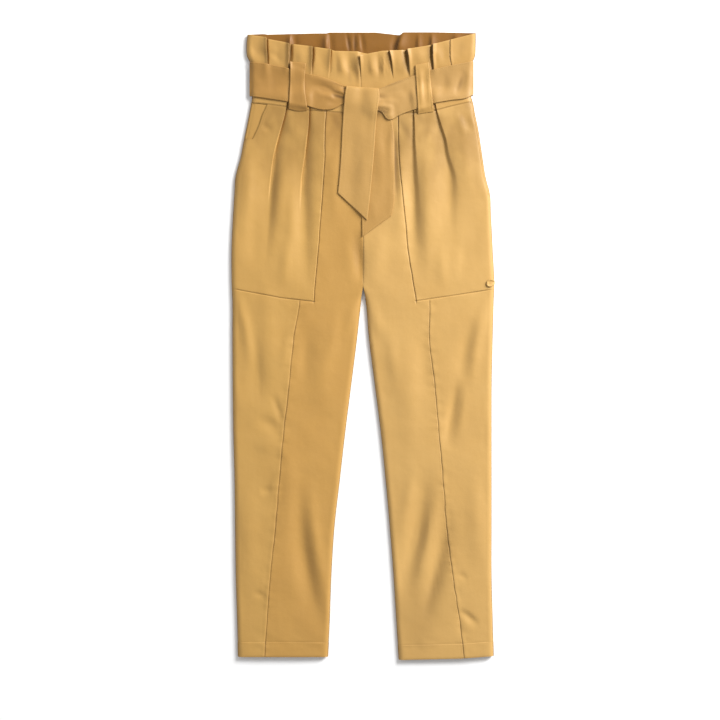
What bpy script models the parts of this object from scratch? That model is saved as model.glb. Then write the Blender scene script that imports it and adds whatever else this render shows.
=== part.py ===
# Paperbag waist trousers, laid flat on their back: one solid for each piece that is cut and sewn.
# The waist points to +Y, the front faces +Z and the back rests on Z = 0. Left and right are as seen
# from above. Tables are in millimetres: "up" is the height above the hem, and across is X.

import math
from collections import namedtuple

import bmesh
import bpy
from mathutils import Vector
from mathutils.bvhtree import BVHTree

MM = 0.001
LENGTH = 1034.5  # from the hem to the top of the paperbag heading
SEAM_GAP = 0.3
CLOTH = 1.2  # wall of the trousers' cloth
BELT_CLOTH = 1.5  # wall of the belt, which is sewn double
REST_GAP = 0.4  # between two layers that lie on each other

FRONT_SIDE = 3.6  # heights at which the front and the back end along the side seam
BACK_SIDE = 2.7
FRONT_TOP = 6.2  # height of the front's outer face
BACK_CORNER = 3.5  # how far in the back starts to curl up to the side
COVER_REACH = 7.0  # how far round a point the cloth below it is felt for
COVER_TURNS = 8  # in how many directions
RIM = 0.8  # upright strip beside the side seam
BAND_TOP = 6.7
BAND_FOLD = 1.9  # depth of the heading's folds at the waist's open edge
BACK_BELT_LIFT = 1.8  # the back waistband rides this far up over the belt
LOOP_LIFT = 1.6  # and the belt this far up over its loops

# One row for each section across a half. The pleats and the two seams are lines that the cloth's
# columns follow: "mouth" is the pocket's slanted opening, "inset" the seam beside the centre panel,
# and below the pocket panel "pleat_in" carries on as the leg's slanting seam.
Section = namedtuple("Section", "up outer mouth pleat_out pleat_in inset inner")

LEFT = (
    Section(1034, -191.0, -160, -122, -84, -53, -8),
    Section(1005, -192.5, -160, -122, -84, -53, -7),
    Section(994, -190.5, -160, -123, -84, -54, -5),
    Section(988, -182.5, -159, -123, -85, -55, -4),
    Section(930, -181.5, -158, -124, -87, -59, -2),
    Section(916, -183.0, -159, -125, -88, -61, 0),
    Section(880, -190.0, -176, -134, -90, -62, 0),
    Section(856, -196.0, -187, -141, -93, -63, 0),
    Section(832, -200.0, -191, -147, -96, -63, 0),
    Section(794, -209.0, -200, -153, -101, -66, 0),
    Section(739, -213.0, -204, -157, -104, -69, 0),
    Section(673, -216.0, -207, -160, -105, -74, 0),
    Section(617, -215.5, -206, -162, -105, -79, 0),
    Section(590, -214.5, -205, -163, -105, -81, -4),
    Section(535, -214.5, -205, -165, -113, -87, -10),
    Section(455, -214.5, -205, -169, -122, -92, -20),
    Section(376, -213.0, -204, -173, -131, -98, -30),
    Section(297, -211.0, -202, -176, -138, -104, -39),
    Section(218, -210.0, -201, -179, -146, -110, -48),
    Section(139, -209.5, -200, -182, -153, -115, -53),
    Section(59, -206.0, -197, -184, -160, -118, -56),
    Section(0, -205.0, -196, -185, -163, -120, -59),
)

RIGHT = (
    Section(1034, 185.0, 144, 114, 70, 39, -8),
    Section(1005, 184.5, 144, 115, 72, 42, -7),
    Section(994, 183.5, 144, 115, 74, 45, -5),
    Section(988, 177.5, 146, 116, 75, 47, -4),
    Section(930, 177.0, 158, 118, 81, 54, -2),
    Section(916, 181.0, 167, 119, 84, 57, 0),
    Section(880, 187.0, 177, 127, 84, 58, 0),
    Section(832, 195.0, 185, 139, 85, 59, 0),
    Section(794, 202.0, 193, 150, 89, 63, 0),
    Section(764, 209.0, 200, 154, 94, 66, 0),
    Section(739, 209.5, 200, 155, 97, 68, 0),
    Section(673, 213.0, 204, 158, 103, 74, 0),
    Section(617, 216.0, 207, 160, 108, 83, 0),
    Section(591, 214.5, 205, 161, 110, 87, 5),
    Section(535, 213.0, 204, 162, 109, 84, 10),
    Section(455, 211.0, 202, 165, 118, 88, 20),
    Section(376, 211.0, 202, 169, 125, 93, 30),
    Section(297, 211.0, 202, 172, 132, 99, 38),
    Section(218, 211.0, 202, 175, 138, 105, 45),
    Section(139, 211.0, 202, 178, 148, 110, 51),
    Section(59, 213.0, 204, 183, 160, 114, 56),
    Section(0, 214.5, 205, 187, 167, 116, 60),
)

# Lines that run across the garment: how far up each is at the left side, beside the centre on the
# left, beside the centre on the right, and at the right side.
Course = namedtuple("Course", "left left_centre right_centre right")
HEADING_FRONT = Course(1029, 1000, 997, 1032)
HEADING_BACK = Course(1031, 1034, 1034, 1034)
WAIST_SEAM = Course(917, 906, 906, 917)
POCKET_SEAM = Course(611, 590, 590, 610)
HEM = Course(5, 5, 0, 6)

# Shares of the way down each zone at which there is a row of points.
HEADING_ROWS = (0, 0.18, 0.32, 0.38, 0.5, 0.66, 0.84)
HIP_ROWS = (0, 0.06, 0.12, 0.2, 0.28, 0.38, 0.49, 0.6, 0.7, 0.8, 0.914)
LEG_ROWS = tuple(step / 12 for step in range(13))
BACK_HEADING_ROWS = (0, 0.16, 0.33, 0.395, 0.5, 0.66, 0.84, 0.9, 0.95)
BACK_HIP_ROWS = (0, 0.12, 0.28, 0.49, 0.7, 0.914)
BACK_LEG_ROWS = tuple(step / 9 for step in range(10))
LEFT_MOUTH_ROW = 3  # row of the hip at which each pocket's opening ends
RIGHT_MOUTH_ROW = 6
CROTCH_UP = 617
CROTCH_RUN = 22  # the inseam's edges round over within this height below the crotch
CORNER_COLUMNS = (0.0, 0.3, 1.4, 4.5)  # distances in from an edge
PLEAT_HALF = 0.9  # a pleat's edge drops within this distance of its line
BACK_SHARES = (0.18, 0.26, 0.345, 0.51, 0.6, 0.78)
SETTLE_RUN = 14  # folds have died away at this distance from the side
HEM_CALM = 70  # and fade below this height above the hem
PLEAT_DEPTH = 1.5
PLEAT_RUN = 190  # a pleat has died away this far below the waist seam
PLEAT_SLOPE = 20  # and slopes off within this distance outwards of its edge
BAND_FLAT = 0.25  # share of the band, from the waist seam up, that still holds the pleats
HEADING_LOW = 0.6  # share at which the heading's folds begin
SMALL_FOLD = 0.8  # how deep the heading's folds between the pleats are, as a share of the others
FRONT_LAP = 0.6  # step at the centre, where the right front laps over the left
FRONT_LAP_RUN = 20

# The back waistband: between which heights it rises over the belt and over its loops, and the waves
# of its heading.
BELT_RISE = (916, 8, 990, 12)
LOOP_RISE = (913, 8, 998, 12)
LOOP_CLEAR = 2  # a loop's rise is whole within this distance of its edge
LOOP_FADE = 14
WAVE_HEIGHT = 0.5
WAVE_UP = 1004
WAVE_RUN = 24
WAVE_LENGTH = 9.0

# Shares of the way between two of the front's lines at which there are columns of points.
MOUTH_SHARES = (0.5, 0.8)
PLEAT_SHARES = (0.35, 0.7)
SLANT_SHARES = (0.5,)
CENTRE_SHARES = (0.33, 0.66)
ROW_FITS = 3  # times a point is moved to lie on both its column and its row

# Folds of the cloth, each from its top to its bottom: the height it adds, which is below nought
# in a trough, and the distance at which it has faded.
Fold = namedtuple("Fold", "across up to_across to_up height reach")
FOLDS = (
    Fold(-101, 790, -99, 640, 1.6, 15),
    Fold(-186, 770, -193, 640, 1.0, 16),
    Fold(-128, 800, -132, 690, -1.3, 18),
    Fold(-207, 590, -186, 485, 1.3, 16),
    Fold(-183, 525, -176, 430, -1.4, 15),
    Fold(-104, 265, -70, 60, -1.7, 24),
    Fold(-125, 400, -112, 260, 1.1, 22),
    Fold(-60, 560, -68, 420, 1.0, 24),
    Fold(88, 850, 92, 660, -1.8, 14),
    Fold(131, 830, 134, 640, 1.7, 15),
    Fold(157, 790, 165, 660, -1.5, 14),
    Fold(184, 800, 186, 640, 1.6, 17),
    Fold(188, 570, 146, 400, -1.7, 19),
    Fold(128, 290, 76, 120, -1.6, 22),
    Fold(146, 170, 108, 100, -1.2, 16),
    Fold(60, 520, 76, 330, 1.3, 26),
    Fold(185, 330, 190, 150, 1.3, 20),
)

# Stretches of the belt and the loops over it. The sag bows the lower edge, and "turns" names the
# side at which the stretch goes round to the back.
Strip = namedtuple("Strip", "left right top_left top_right low_left low_right sag turns")
BELT_STRIPS = {
    "belt_left_outer": Strip(-184.5, -107.2, 985, 970, 928, 917, 0, "left"),
    "belt_left_inner": Strip(-106.8, -12.0, 968, 944, 916, 917, -9, None),
    "belt_right_inner": Strip(8.0, 98.8, 941, 966, 908, 909, -15, None),
    "belt_right_outer": Strip(99.2, 180.5, 969, 986, 914, 929, 0, "right"),
}
LOOP_STRIPS = {
    "belt_loop_front_left": Strip(-121.0, -92.5, 985, 983, 906, 906, -2, None),
    "belt_loop_front_right": Strip(87.5, 111.5, 979, 984, 898, 902, -2, None),
}
SIDE_TAB = Strip(202.0, 212.5, 625, 626, 613, 613, 0, None)
BELT_CORNER = 6.5
BELT_STEP = 6.6  # greatest distance between points of what is laid on another layer
BACK_BELT_CORNER = 2.5
BACK_BELT_LEFT = -184.5
BACK_BELT_RIGHT = 180.5
BACK_BELT_TOP = 985
BACK_BELT_LOW = 929
BACK_BELT_STEPS = 40
BACK_LOOPS = {"belt_loop_back_left": -105, "belt_loop_back_right": 105}
BACK_LOOP_WIDTH = 26
BACK_LOOP_TOP = 994
BACK_LOOP_LOW = 922

# The belt's two hanging ends, as rows down each: height and across of both edges.
End = namedtuple("End", "left_up left right_up right")
UNDER_END = (
    End(916, 6, 912, 50),
    End(880, 0, 876, 49),
    End(833, -2, 833, 51),
    End(780, -2, 780, 51),
    End(740, -2, 747, 50),
    End(696, -2, 730, 46),
)
KNOT_END = (
    End(945, -27.5, 941, 25),
    End(936, -29.5, 932, 26),
    End(918, -31, 914, 25),
    End(877, -34, 885, 22),
    End(833, -36, 833, 18),
    End(800, -38, 802, 15),
    End(770, -41, 769, 12),
    End(746, -19, 745, 9.5),
    End(723.5, 2, 723.5, 6),
)
END_COLUMNS = 10
END_FINE_UP = 884  # the ends have close rows above this height, where they cross the belt
END_COARSE_STEP = 12.0

# Colour of each group of pieces, as sRGB.
FRONT_LEFT_COLOUR = (205, 162, 99)
FRONT_RIGHT_COLOUR = (223, 181, 116)
BACK_COLOUR = (196, 153, 91)
BELT_COLOUR = (205, 160, 93)
BELT_LIT_COLOUR = (229, 193, 130)
FACING_COLOUR = (190, 145, 84)
CLOTH_ROUGHNESS = 0.62
SRGB_POWER = 2.2
SRGB_TOP = 255
SHARP_ANGLE = math.radians(40)

MOUTH = len(CORNER_COLUMNS)  # columns of the front on which seams lie
SLANT = MOUTH + 1 + len(MOUTH_SHARES) + 2 + len(PLEAT_SHARES)
INSET = SLANT + 2 + len(SLANT_SHARES)
LAST = INSET + len(CENTRE_SHARES) + len(CORNER_COLUMNS)
WAIST_ROW = len(HEADING_ROWS)
POCKET_ROW = WAIST_ROW + len(HIP_ROWS)
HEM_ROW = POCKET_ROW + len(LEG_ROWS) - 1


def lerp(a, b, share):
    return a + (b - a) * share


def ease(share):
    share = min(1.0, max(0.0, share))
    return share * share * (3 - 2 * share)


def side_of(half):
    """-1 on the left half and 1 on the right."""
    return -1 if half is LEFT else 1


def across_at(half, name, up):
    """Where a named line of a half lies at a height."""
    for above, below in zip(half, half[1:]):
        if up >= below.up:
            share = min(1.0, (above.up - up) / (above.up - below.up))
            return lerp(getattr(above, name), getattr(below, name), max(0.0, share))
    return getattr(half[-1], name)


def course_at(course, half, across):
    """How far up a line that runs across the garment is."""
    share = min(1.0, abs(across / half[0].outer))
    if half is LEFT:
        return lerp(course.left_centre, course.left, share)
    return lerp(course.right_centre, course.right, share)


def edge_height(distance, width, height):
    """Rise of a rounded side above its seam: an upright rim, then a quarter ellipse."""
    if distance <= 0:
        return 0.0
    share = 1 - min(1.0, (distance - CORNER_COLUMNS[1]) / width)
    return RIM + (height - RIM) * math.sqrt(max(0.0, 1 - share * share))


def fold_height(across, up):
    """What the folds add at a point."""
    total = 0.0
    for fold in FOLDS:
        start = Vector((fold.across, fold.up))
        run = Vector((fold.to_across, fold.to_up)) - start
        away = Vector((across, up)) - start
        share = away.dot(run) / run.length_squared
        spread = (away - run * share).length / fold.reach
        if 0 < share < 1 and spread < 1:
            total += fold.height * math.sin(math.pi * share) * (1 - spread * spread) ** 2
    return total


def knife(away, height, run):
    """A pleat that opens towards the centre, at a distance outwards from its edge."""
    if away > 0:
        return height * (1 - ease(away / run))
    return -height / 2 * (1 - ease(-away / run))


def pleat_height(half, names, across, up, depth):
    side = side_of(half)
    away = [side * (across - across_at(half, name, up)) for name in names]
    return sum(knife(distance, depth, PLEAT_SLOPE) for distance in away)


def front_surface(half, across, up, distance):
    """Height of the front's outer face below the waist seam."""
    down = course_at(WAIST_SEAM, half, across) - up
    fold = fold_height(across, up) * ease(up / HEM_CALM)
    depth = PLEAT_DEPTH * (1 - ease(down / PLEAT_RUN))
    fold += pleat_height(half, ("pleat_out", "pleat_in"), across, up, depth)
    rise = edge_height(distance, CORNER_COLUMNS[-1], FRONT_TOP - FRONT_SIDE)
    return FRONT_SIDE + rise + fold * ease(distance / SETTLE_RUN)


def front_band_surface(half, across, up, distance):
    """Height of the front waistband and its heading, which opens into folds above the belt."""
    low = course_at(WAIST_SEAM, half, across)
    share = (up - low) / (course_at(HEADING_FRONT, half, across) - low)
    opened = ease((share - HEADING_LOW) / (1 - HEADING_LOW))
    depth = PLEAT_DEPTH * (1 - ease(share / BAND_FLAT)) + BAND_FOLD * opened
    fold = pleat_height(half, ("pleat_out", "pleat_in"), across, up, depth)
    fold += pleat_height(half, ("mouth", "inset"), across, up, SMALL_FOLD * BAND_FOLD * opened)
    to_centre = abs(across - across_at(half, "inner", up))
    fold += FRONT_LAP * opened * (1 - ease(to_centre / FRONT_LAP_RUN)) * side_of(half)
    top = lerp(FRONT_TOP, BAND_TOP, opened)
    rise = edge_height(distance, CORNER_COLUMNS[-1], top - FRONT_SIDE)
    return FRONT_SIDE + rise + fold * ease(distance / SETTLE_RUN)


def back_surface(half, across, up, distance):
    """Height of the back's outer, lower face below the waist seam."""
    return BACK_SIDE - edge_height(distance, BACK_CORNER, BACK_SIDE)


def loop_lift(across):
    """How far the back loops push up what lies on them."""
    nearest = min(abs(across - centre) for centre in BACK_LOOPS.values())
    beyond = max(0.0, nearest - BACK_LOOP_WIDTH / 2 - LOOP_CLEAR)
    return LOOP_LIFT * (1 - min(1.0, beyond / LOOP_FADE))


def rise_between(up, low, low_run, high, high_run):
    """A rise that starts at one height and has ended above another."""
    return ease((up - low) / low_run) * (1 - ease((up - high) / high_run))


def back_band_surface(half, across, up, distance):
    """Lower face of the back waistband, which rides over the belt and its loops."""
    lift = BACK_BELT_LIFT * rise_between(up, *BELT_RISE)
    lift += loop_lift(across) * rise_between(up, *LOOP_RISE)
    lift += WAVE_HEIGHT * ease((up - WAVE_UP) / WAVE_RUN) * (1 + math.sin(across / WAVE_LENGTH))
    near_side = 1 - ease((distance - BACK_CORNER) / SETTLE_RUN)
    lift = lerp(lift, min(lift, BACK_BELT_LIFT), near_side)
    return BACK_SIDE - edge_height(distance, BACK_CORNER, BACK_SIDE - lift)


def front_columns(half, up):
    """Across of each column of the front, from the outer edge to the inner one."""
    side = side_of(half)
    outer, mouth, pleat_out, pleat_in, inset, inner = (
        across_at(half, name, up) for name in Section._fields[1:]
    )
    found = [outer - side * step for step in CORNER_COLUMNS]
    found.append(mouth)
    found += [lerp(mouth, pleat_out, share) for share in MOUTH_SHARES]
    found += [pleat_out + side * PLEAT_HALF, pleat_out - side * PLEAT_HALF]
    found += [lerp(pleat_out, pleat_in, share) for share in PLEAT_SHARES]
    found += [pleat_in + side * PLEAT_HALF, pleat_in - side * PLEAT_HALF]
    found += [lerp(pleat_in, inset, share) for share in SLANT_SHARES]
    found.append(inset)
    found += [lerp(inset, inner, share) for share in CENTRE_SHARES]
    found += [inner + side * step for step in reversed(CORNER_COLUMNS)]
    return found


def back_columns(half, up):
    side = side_of(half)
    outer = across_at(half, "outer", up)
    inner = across_at(half, "inner", up) if up < CROTCH_UP else 0.0
    found = [outer - side * step for step in CORNER_COLUMNS]
    found += [lerp(outer, inner, share) for share in BACK_SHARES]
    found += [inner + side * step for step in reversed(CORNER_COLUMNS)]
    return found


def row_of(half, columns_of, upper, lower, share, height):
    """One row of points between two lines that run across the garment."""
    row = []
    for column in range(len(columns_of(half, 0))):
        up = lerp(upper.left, lower.left, share)
        for _ in range(ROW_FITS):
            columns = columns_of(half, up)
            across = columns[column]
            up = lerp(course_at(upper, half, across), course_at(lower, half, across), share)
        distance = abs(across - columns[0])
        z = height(half, across, up, distance)
        to_inner = abs(across - columns[-1])
        if up < CROTCH_UP and to_inner < distance:
            opened = ease((CROTCH_UP - up) / CROTCH_RUN)
            z = lerp(z, height(half, across, up, to_inner), opened)
        row.append(Vector((across, up - LENGTH / 2, z)))
    return row


def half_grid(half, columns_of, zones):
    rows = []
    for upper, lower, shares, height in zones:
        rows += [row_of(half, columns_of, upper, lower, share, height) for share in shares]
    return rows


def cells_between(first_row, last_row, first_column, last_column):
    return {
        (row, column)
        for row in range(first_row, last_row)
        for column in range(first_column, last_column)
    }


def inset_edges(mesh_data, gap):
    """Moves every open edge in by a distance along the cloth, so that pieces stay apart."""
    moves = {}
    for edge in mesh_data.edges:
        if not edge.is_boundary:
            continue
        face = edge.link_faces[0]
        start, end = (vert.co for vert in edge.verts)
        inwards = face.normal.cross(end - start).normalized()
        if inwards.dot(face.calc_center_median() - start) < 0:
            inwards.negate()
        for vert in edge.verts:
            moves.setdefault(vert, []).append(inwards)
    for vert, directions in moves.items():
        total = sum(directions, Vector())
        total.normalize()
        vert.co += total * gap / max(0.5, total.dot(directions[0]))


def cloth_object(name, points, faces, thickness, outwards, colour, gap=0.0):
    """A sheet of cloth from a grid: a surface, its wall and its material."""
    mesh = bpy.data.meshes.new(name)
    shape = bmesh.new()
    verts = {}
    for face in faces:
        for key in face:
            if key not in verts:
                verts[key] = shape.verts.new(points[key])
        shape.faces.new([verts[key] for key in face])
    shape.normal_update()
    if gap:
        inset_edges(shape, gap)
    bmesh.ops.scale(shape, vec=(MM, MM, MM), verts=shape.verts)
    shape.normal_update()
    shape.to_mesh(mesh)
    shape.free()
    piece = bpy.data.objects.new(name, mesh)
    collection.objects.link(piece)
    wall = piece.modifiers.new("wall", "SOLIDIFY")
    wall.thickness = thickness * MM
    wall.offset = 1 if outwards else -1
    wall.use_even_offset = True
    mesh.materials.append(cloth_material(name, colour))
    mesh.shade_smooth()
    mesh.set_sharp_from_angle(angle=SHARP_ANGLE)
    return piece


def cloth_material(name, colour):
    material = bpy.data.materials.new(name)
    material.use_nodes = True
    shader = material.node_tree.nodes["Principled BSDF"]
    linear = [(part / SRGB_TOP) ** SRGB_POWER for part in colour]
    shader.inputs["Base Color"].default_value = (*linear, 1)
    shader.inputs["Roughness"].default_value = CLOTH_ROUGHNESS
    shader.inputs["Metallic"].default_value = 0
    return material


def panel(name, half, grid, cells, outwards, colour):
    """A piece made of some cells of a half's grid."""
    points = {(r, c): point for r, row in enumerate(grid) for c, point in enumerate(row)}
    faces = []
    for row, column in sorted(cells):
        face = [(row + 1, column), (row + 1, column + 1), (row, column + 1), (row, column)]
        faces.append(face if half is LEFT else face[::-1])
    return cloth_object(name, points, faces, CLOTH, outwards, colour, SEAM_GAP / 2)


def front_panels():
    zones = (
        (HEADING_FRONT, WAIST_SEAM, HEADING_ROWS, front_band_surface),
        (WAIST_SEAM, POCKET_SEAM, HIP_ROWS, front_surface),
        (POCKET_SEAM, HEM, LEG_ROWS, front_surface),
    )
    pieces = []
    for half, word, mouth_row, colour in (
        (LEFT, "left", LEFT_MOUTH_ROW, FRONT_LEFT_COLOUR),
        (RIGHT, "right", RIGHT_MOUTH_ROW, FRONT_RIGHT_COLOUR),
    ):
        grid = half_grid(half, front_columns, zones)
        facing = cells_between(WAIST_ROW, WAIST_ROW + mouth_row, 0, MOUTH)
        pocket = cells_between(WAIST_ROW, POCKET_ROW, 0, INSET) - facing
        centre = cells_between(WAIST_ROW, POCKET_ROW, INSET, LAST)
        centre |= cells_between(POCKET_ROW, HEM_ROW, SLANT, LAST)
        side = cells_between(POCKET_ROW, HEM_ROW, 0, SLANT)
        band = cells_between(0, WAIST_ROW, 0, LAST)
        pieces += [
            panel(f"front_waistband_{word}", half, grid, band, False, colour),
            panel(f"pocket_facing_{word}", half, grid, facing, False, FACING_COLOUR),
            panel(f"pocket_panel_{word}", half, grid, pocket, False, colour),
            panel(f"front_centre_{word}", half, grid, centre, False, colour),
            panel(f"front_side_{word}", half, grid, side, False, colour),
        ]
    return pieces


def back_panels():
    zones = (
        (HEADING_BACK, WAIST_SEAM, BACK_HEADING_ROWS, back_band_surface),
        (WAIST_SEAM, POCKET_SEAM, BACK_HIP_ROWS, back_surface),
        (POCKET_SEAM, HEM, BACK_LEG_ROWS, back_surface),
    )
    waist = len(BACK_HEADING_ROWS)
    last = len(BACK_SHARES) + 2 * len(CORNER_COLUMNS) - 1
    for half, word in ((LEFT, "left"), (RIGHT, "right")):
        grid = half_grid(half, back_columns, zones)
        band = cells_between(0, waist, 0, last)
        leg = cells_between(waist, len(grid) - 1, 0, last)
        panel(f"back_waistband_{word}", half, grid, band, True, BACK_COLOUR)
        panel(f"back_{word}", half, grid, leg, True, BACK_COLOUR)


def surfaces_of(pieces):
    """What a ray from above would meet on each piece."""
    bpy.context.view_layer.update()
    graph = bpy.context.evaluated_depsgraph_get()
    return [BVHTree.FromObject(piece, graph) for piece in pieces]


def top_of(surfaces, across, up):
    """Highest point of the pieces near a place, in millimetres."""
    highest = FRONT_SIDE
    for turn in range(COVER_TURNS + 1):
        reach = 0.0 if turn == COVER_TURNS else COVER_REACH
        angle = turn * math.tau / COVER_TURNS
        start = Vector((across + reach * math.cos(angle), up - LENGTH / 2, 0)) * MM
        start += Vector((0, reach * MM * math.sin(angle), 1))
        for surface in surfaces:
            hit = surface.ray_cast(start, Vector((0, 0, -1)))[0]
            if hit:
                highest = max(highest, hit.z / MM)
    return highest


def strip_columns(strip):
    count = math.ceil((strip.right - strip.left) / BELT_STEP)
    found = [lerp(strip.left, strip.right, step / count) for step in range(count + 1)]
    if strip.turns == "left":
        found = [strip.left + step for step in CORNER_COLUMNS] + found[1:]
    if strip.turns == "right":
        found = found[:-1] + [strip.right - step for step in reversed(CORNER_COLUMNS)]
    return found


def strip_piece(name, strip, under, thickness, colour):
    """A stretch of belt, a loop or a tab, laid on what is under it."""
    columns = strip_columns(strip)
    rows = math.ceil((strip.top_right - strip.low_right - strip.sag) / BELT_STEP)
    points = {}
    for r in range(rows + 1):
        for c, across in enumerate(columns):
            share = (across - strip.left) / (strip.right - strip.left)
            top = lerp(strip.top_left, strip.top_right, share)
            low = lerp(strip.low_left, strip.low_right, share)
            low += strip.sag * math.sin(math.pi * share)
            up = lerp(top, low, r / rows)
            z = top_of(under, across, up) + REST_GAP + thickness
            if strip.turns:
                distance = abs(across - (strip.left if strip.turns == "left" else strip.right))
                z = FRONT_SIDE + edge_height(distance, BELT_CORNER, z - FRONT_SIDE)
            points[r, c] = Vector((across, up - LENGTH / 2, z))
    faces = [
        [(r + 1, c), (r + 1, c + 1), (r, c + 1), (r, c)]
        for r in range(rows)
        for c in range(len(columns) - 1)
    ]
    gap = SEAM_GAP / 2 if strip.turns else 0.0
    return cloth_object(name, points, faces, thickness, False, colour, gap)


def end_rows(table):
    """The rows of a table with others between them."""
    found = [table[0]]
    for above, below in zip(table, table[1:]):
        step = BELT_STEP if above.left_up > END_FINE_UP else END_COARSE_STEP
        count = math.ceil((above.left_up - below.left_up) / step)
        for index in range(1, count + 1):
            found.append(End(*(lerp(a, b, index / count) for a, b in zip(above, below))))
    return found


def hanging_end(name, table, under, colour):
    """One of the belt's free ends, laid on what is under it."""
    rows = end_rows(table)
    points = {}
    for r, row in enumerate(rows):
        for c in range(END_COLUMNS):
            share = c / (END_COLUMNS - 1)
            across = lerp(row.left, row.right, share)
            up = lerp(row.left_up, row.right_up, share)
            z = top_of(under, across, up) + REST_GAP + BELT_CLOTH
            points[r, c] = Vector((across, up - LENGTH / 2, z))
    faces = [
        [(r + 1, c), (r + 1, c + 1), (r, c + 1), (r, c)]
        for r in range(len(rows) - 1)
        for c in range(END_COLUMNS - 1)
    ]
    return cloth_object(name, points, faces, BELT_CLOTH, False, colour)


def back_belt():
    """The belt's stretch across the back, under the waistband, and the two loops that hold it."""
    shares = [step / BACK_BELT_STEPS for step in range(1, BACK_BELT_STEPS)]
    inner = [lerp(BACK_BELT_LEFT, BACK_BELT_RIGHT, share) for share in shares]
    columns = [BACK_BELT_LEFT + step for step in CORNER_COLUMNS]
    columns += inner + [BACK_BELT_RIGHT - step for step in reversed(CORNER_COLUMNS)]
    points = {}
    for c, across in enumerate(columns):
        distance = min(across - BACK_BELT_LEFT, BACK_BELT_RIGHT - across)
        z = BACK_SIDE - edge_height(distance, BACK_BELT_CORNER, BACK_SIDE - loop_lift(across))
        points[0, c] = Vector((across, BACK_BELT_TOP - LENGTH / 2, z))
        points[1, c] = Vector((across, BACK_BELT_LOW - LENGTH / 2, z))
    faces = [[(1, c), (1, c + 1), (0, c + 1), (0, c)] for c in range(len(columns) - 1)]
    cloth_object("belt_back", points, faces, BELT_CLOTH, True, BELT_COLOUR, SEAM_GAP / 2)
    for name, centre in BACK_LOOPS.items():
        sides = (centre - BACK_LOOP_WIDTH / 2, centre + BACK_LOOP_WIDTH / 2)
        points = {
            (r, c): Vector((sides[c], (BACK_LOOP_TOP, BACK_LOOP_LOW)[r] - LENGTH / 2, 0))
            for r in range(2)
            for c in range(2)
        }
        faces = [[(1, 0), (1, 1), (0, 1), (0, 0)]]
        cloth_object(name, points, faces, CLOTH, True, BELT_COLOUR)


def front_belt(fronts):
    under = hanging_end("belt_end_under", UNDER_END, surfaces_of(fronts), BELT_COLOUR)
    surfaces = surfaces_of([*fronts, under])
    stretches = [
        strip_piece(name, strip, surfaces, BELT_CLOTH, BELT_LIT_COLOUR if strip.left > 0 else BELT_COLOUR)
        for name, strip in BELT_STRIPS.items()
    ]
    surfaces += surfaces_of(stretches)
    for name, strip in LOOP_STRIPS.items():
        strip_piece(name, strip, surfaces, CLOTH, BELT_COLOUR)
    hanging_end("belt_end_knot", KNOT_END, surfaces, BELT_COLOUR)


for old in list(bpy.data.objects):
    bpy.data.objects.remove(old, do_unlink=True)
collection = bpy.data.collections.new("paperbag_trousers")
bpy.context.scene.collection.children.link(collection)

back_panels()
back_belt()
front_pieces = front_panels()
front_belt(front_pieces)
strip_piece("side_tab", SIDE_TAB, surfaces_of(front_pieces), CLOTH, BELT_COLOUR)
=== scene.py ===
import math

import bpy
import numpy as np
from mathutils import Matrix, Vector
from mathutils.bvhtree import BVHTree


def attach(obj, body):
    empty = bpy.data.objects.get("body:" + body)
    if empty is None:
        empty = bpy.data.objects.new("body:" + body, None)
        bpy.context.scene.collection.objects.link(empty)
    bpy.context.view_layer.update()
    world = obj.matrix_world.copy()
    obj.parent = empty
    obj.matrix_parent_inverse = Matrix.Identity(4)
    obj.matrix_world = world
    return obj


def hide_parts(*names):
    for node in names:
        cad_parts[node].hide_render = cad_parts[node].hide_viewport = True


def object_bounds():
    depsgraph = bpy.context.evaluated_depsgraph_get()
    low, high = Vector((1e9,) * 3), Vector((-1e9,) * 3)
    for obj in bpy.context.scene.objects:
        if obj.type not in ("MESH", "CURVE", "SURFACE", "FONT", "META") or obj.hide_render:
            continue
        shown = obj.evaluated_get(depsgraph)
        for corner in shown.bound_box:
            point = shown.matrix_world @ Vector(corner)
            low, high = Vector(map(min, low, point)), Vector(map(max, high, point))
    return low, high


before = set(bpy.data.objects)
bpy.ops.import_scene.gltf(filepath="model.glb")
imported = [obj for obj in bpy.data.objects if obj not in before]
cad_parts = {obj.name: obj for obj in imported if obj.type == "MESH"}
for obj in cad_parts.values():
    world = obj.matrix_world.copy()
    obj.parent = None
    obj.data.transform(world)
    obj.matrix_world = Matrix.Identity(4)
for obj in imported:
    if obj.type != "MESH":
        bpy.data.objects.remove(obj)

mm = 0.001
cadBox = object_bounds()
hemLine = cadBox[0].y / mm - 1.9  # where up is nought
print("frame loaded")

# Small sums used throughout.


def blendTo(a, b, share):
    return a + (b - a) * share


def easeIn(share):
    share = np.clip(share, 0.0, 1.0)
    return share * share * (3 - 2 * share)


def roundEdge(distance, width):
    # quarter ellipse, nought at the edge and one from width inwards
    share = 1 - np.clip(distance / width, 0.0, 1.0)
    return np.sqrt(np.clip(1 - share * share, 0.0, 1.0))


def bell(distance, width):
    return np.exp(-((distance / width) ** 2))


def smoothLine(knots, values, at):
    # soft curve through a short table, knots in rising order
    knots = np.asarray(knots, float)
    values = np.asarray(values, float)
    slopes = np.gradient(values, knots)
    at = np.clip(at, knots[0], knots[-1])
    spot = np.clip(np.searchsorted(knots, at) - 1, 0, len(knots) - 2)
    gap = knots[spot + 1] - knots[spot]
    t = (at - knots[spot]) / gap
    a, b = values[spot], values[spot + 1]
    m, n = slopes[spot] * gap, slopes[spot + 1] * gap
    return a + t * (m + t * ((3 * (b - a) - 2 * m - n) + t * (2 * (a - b) + m + n)))


def throughPoints(points, at):
    # the same, through a row of points
    return smoothLine(*zip(*points), at)


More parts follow.
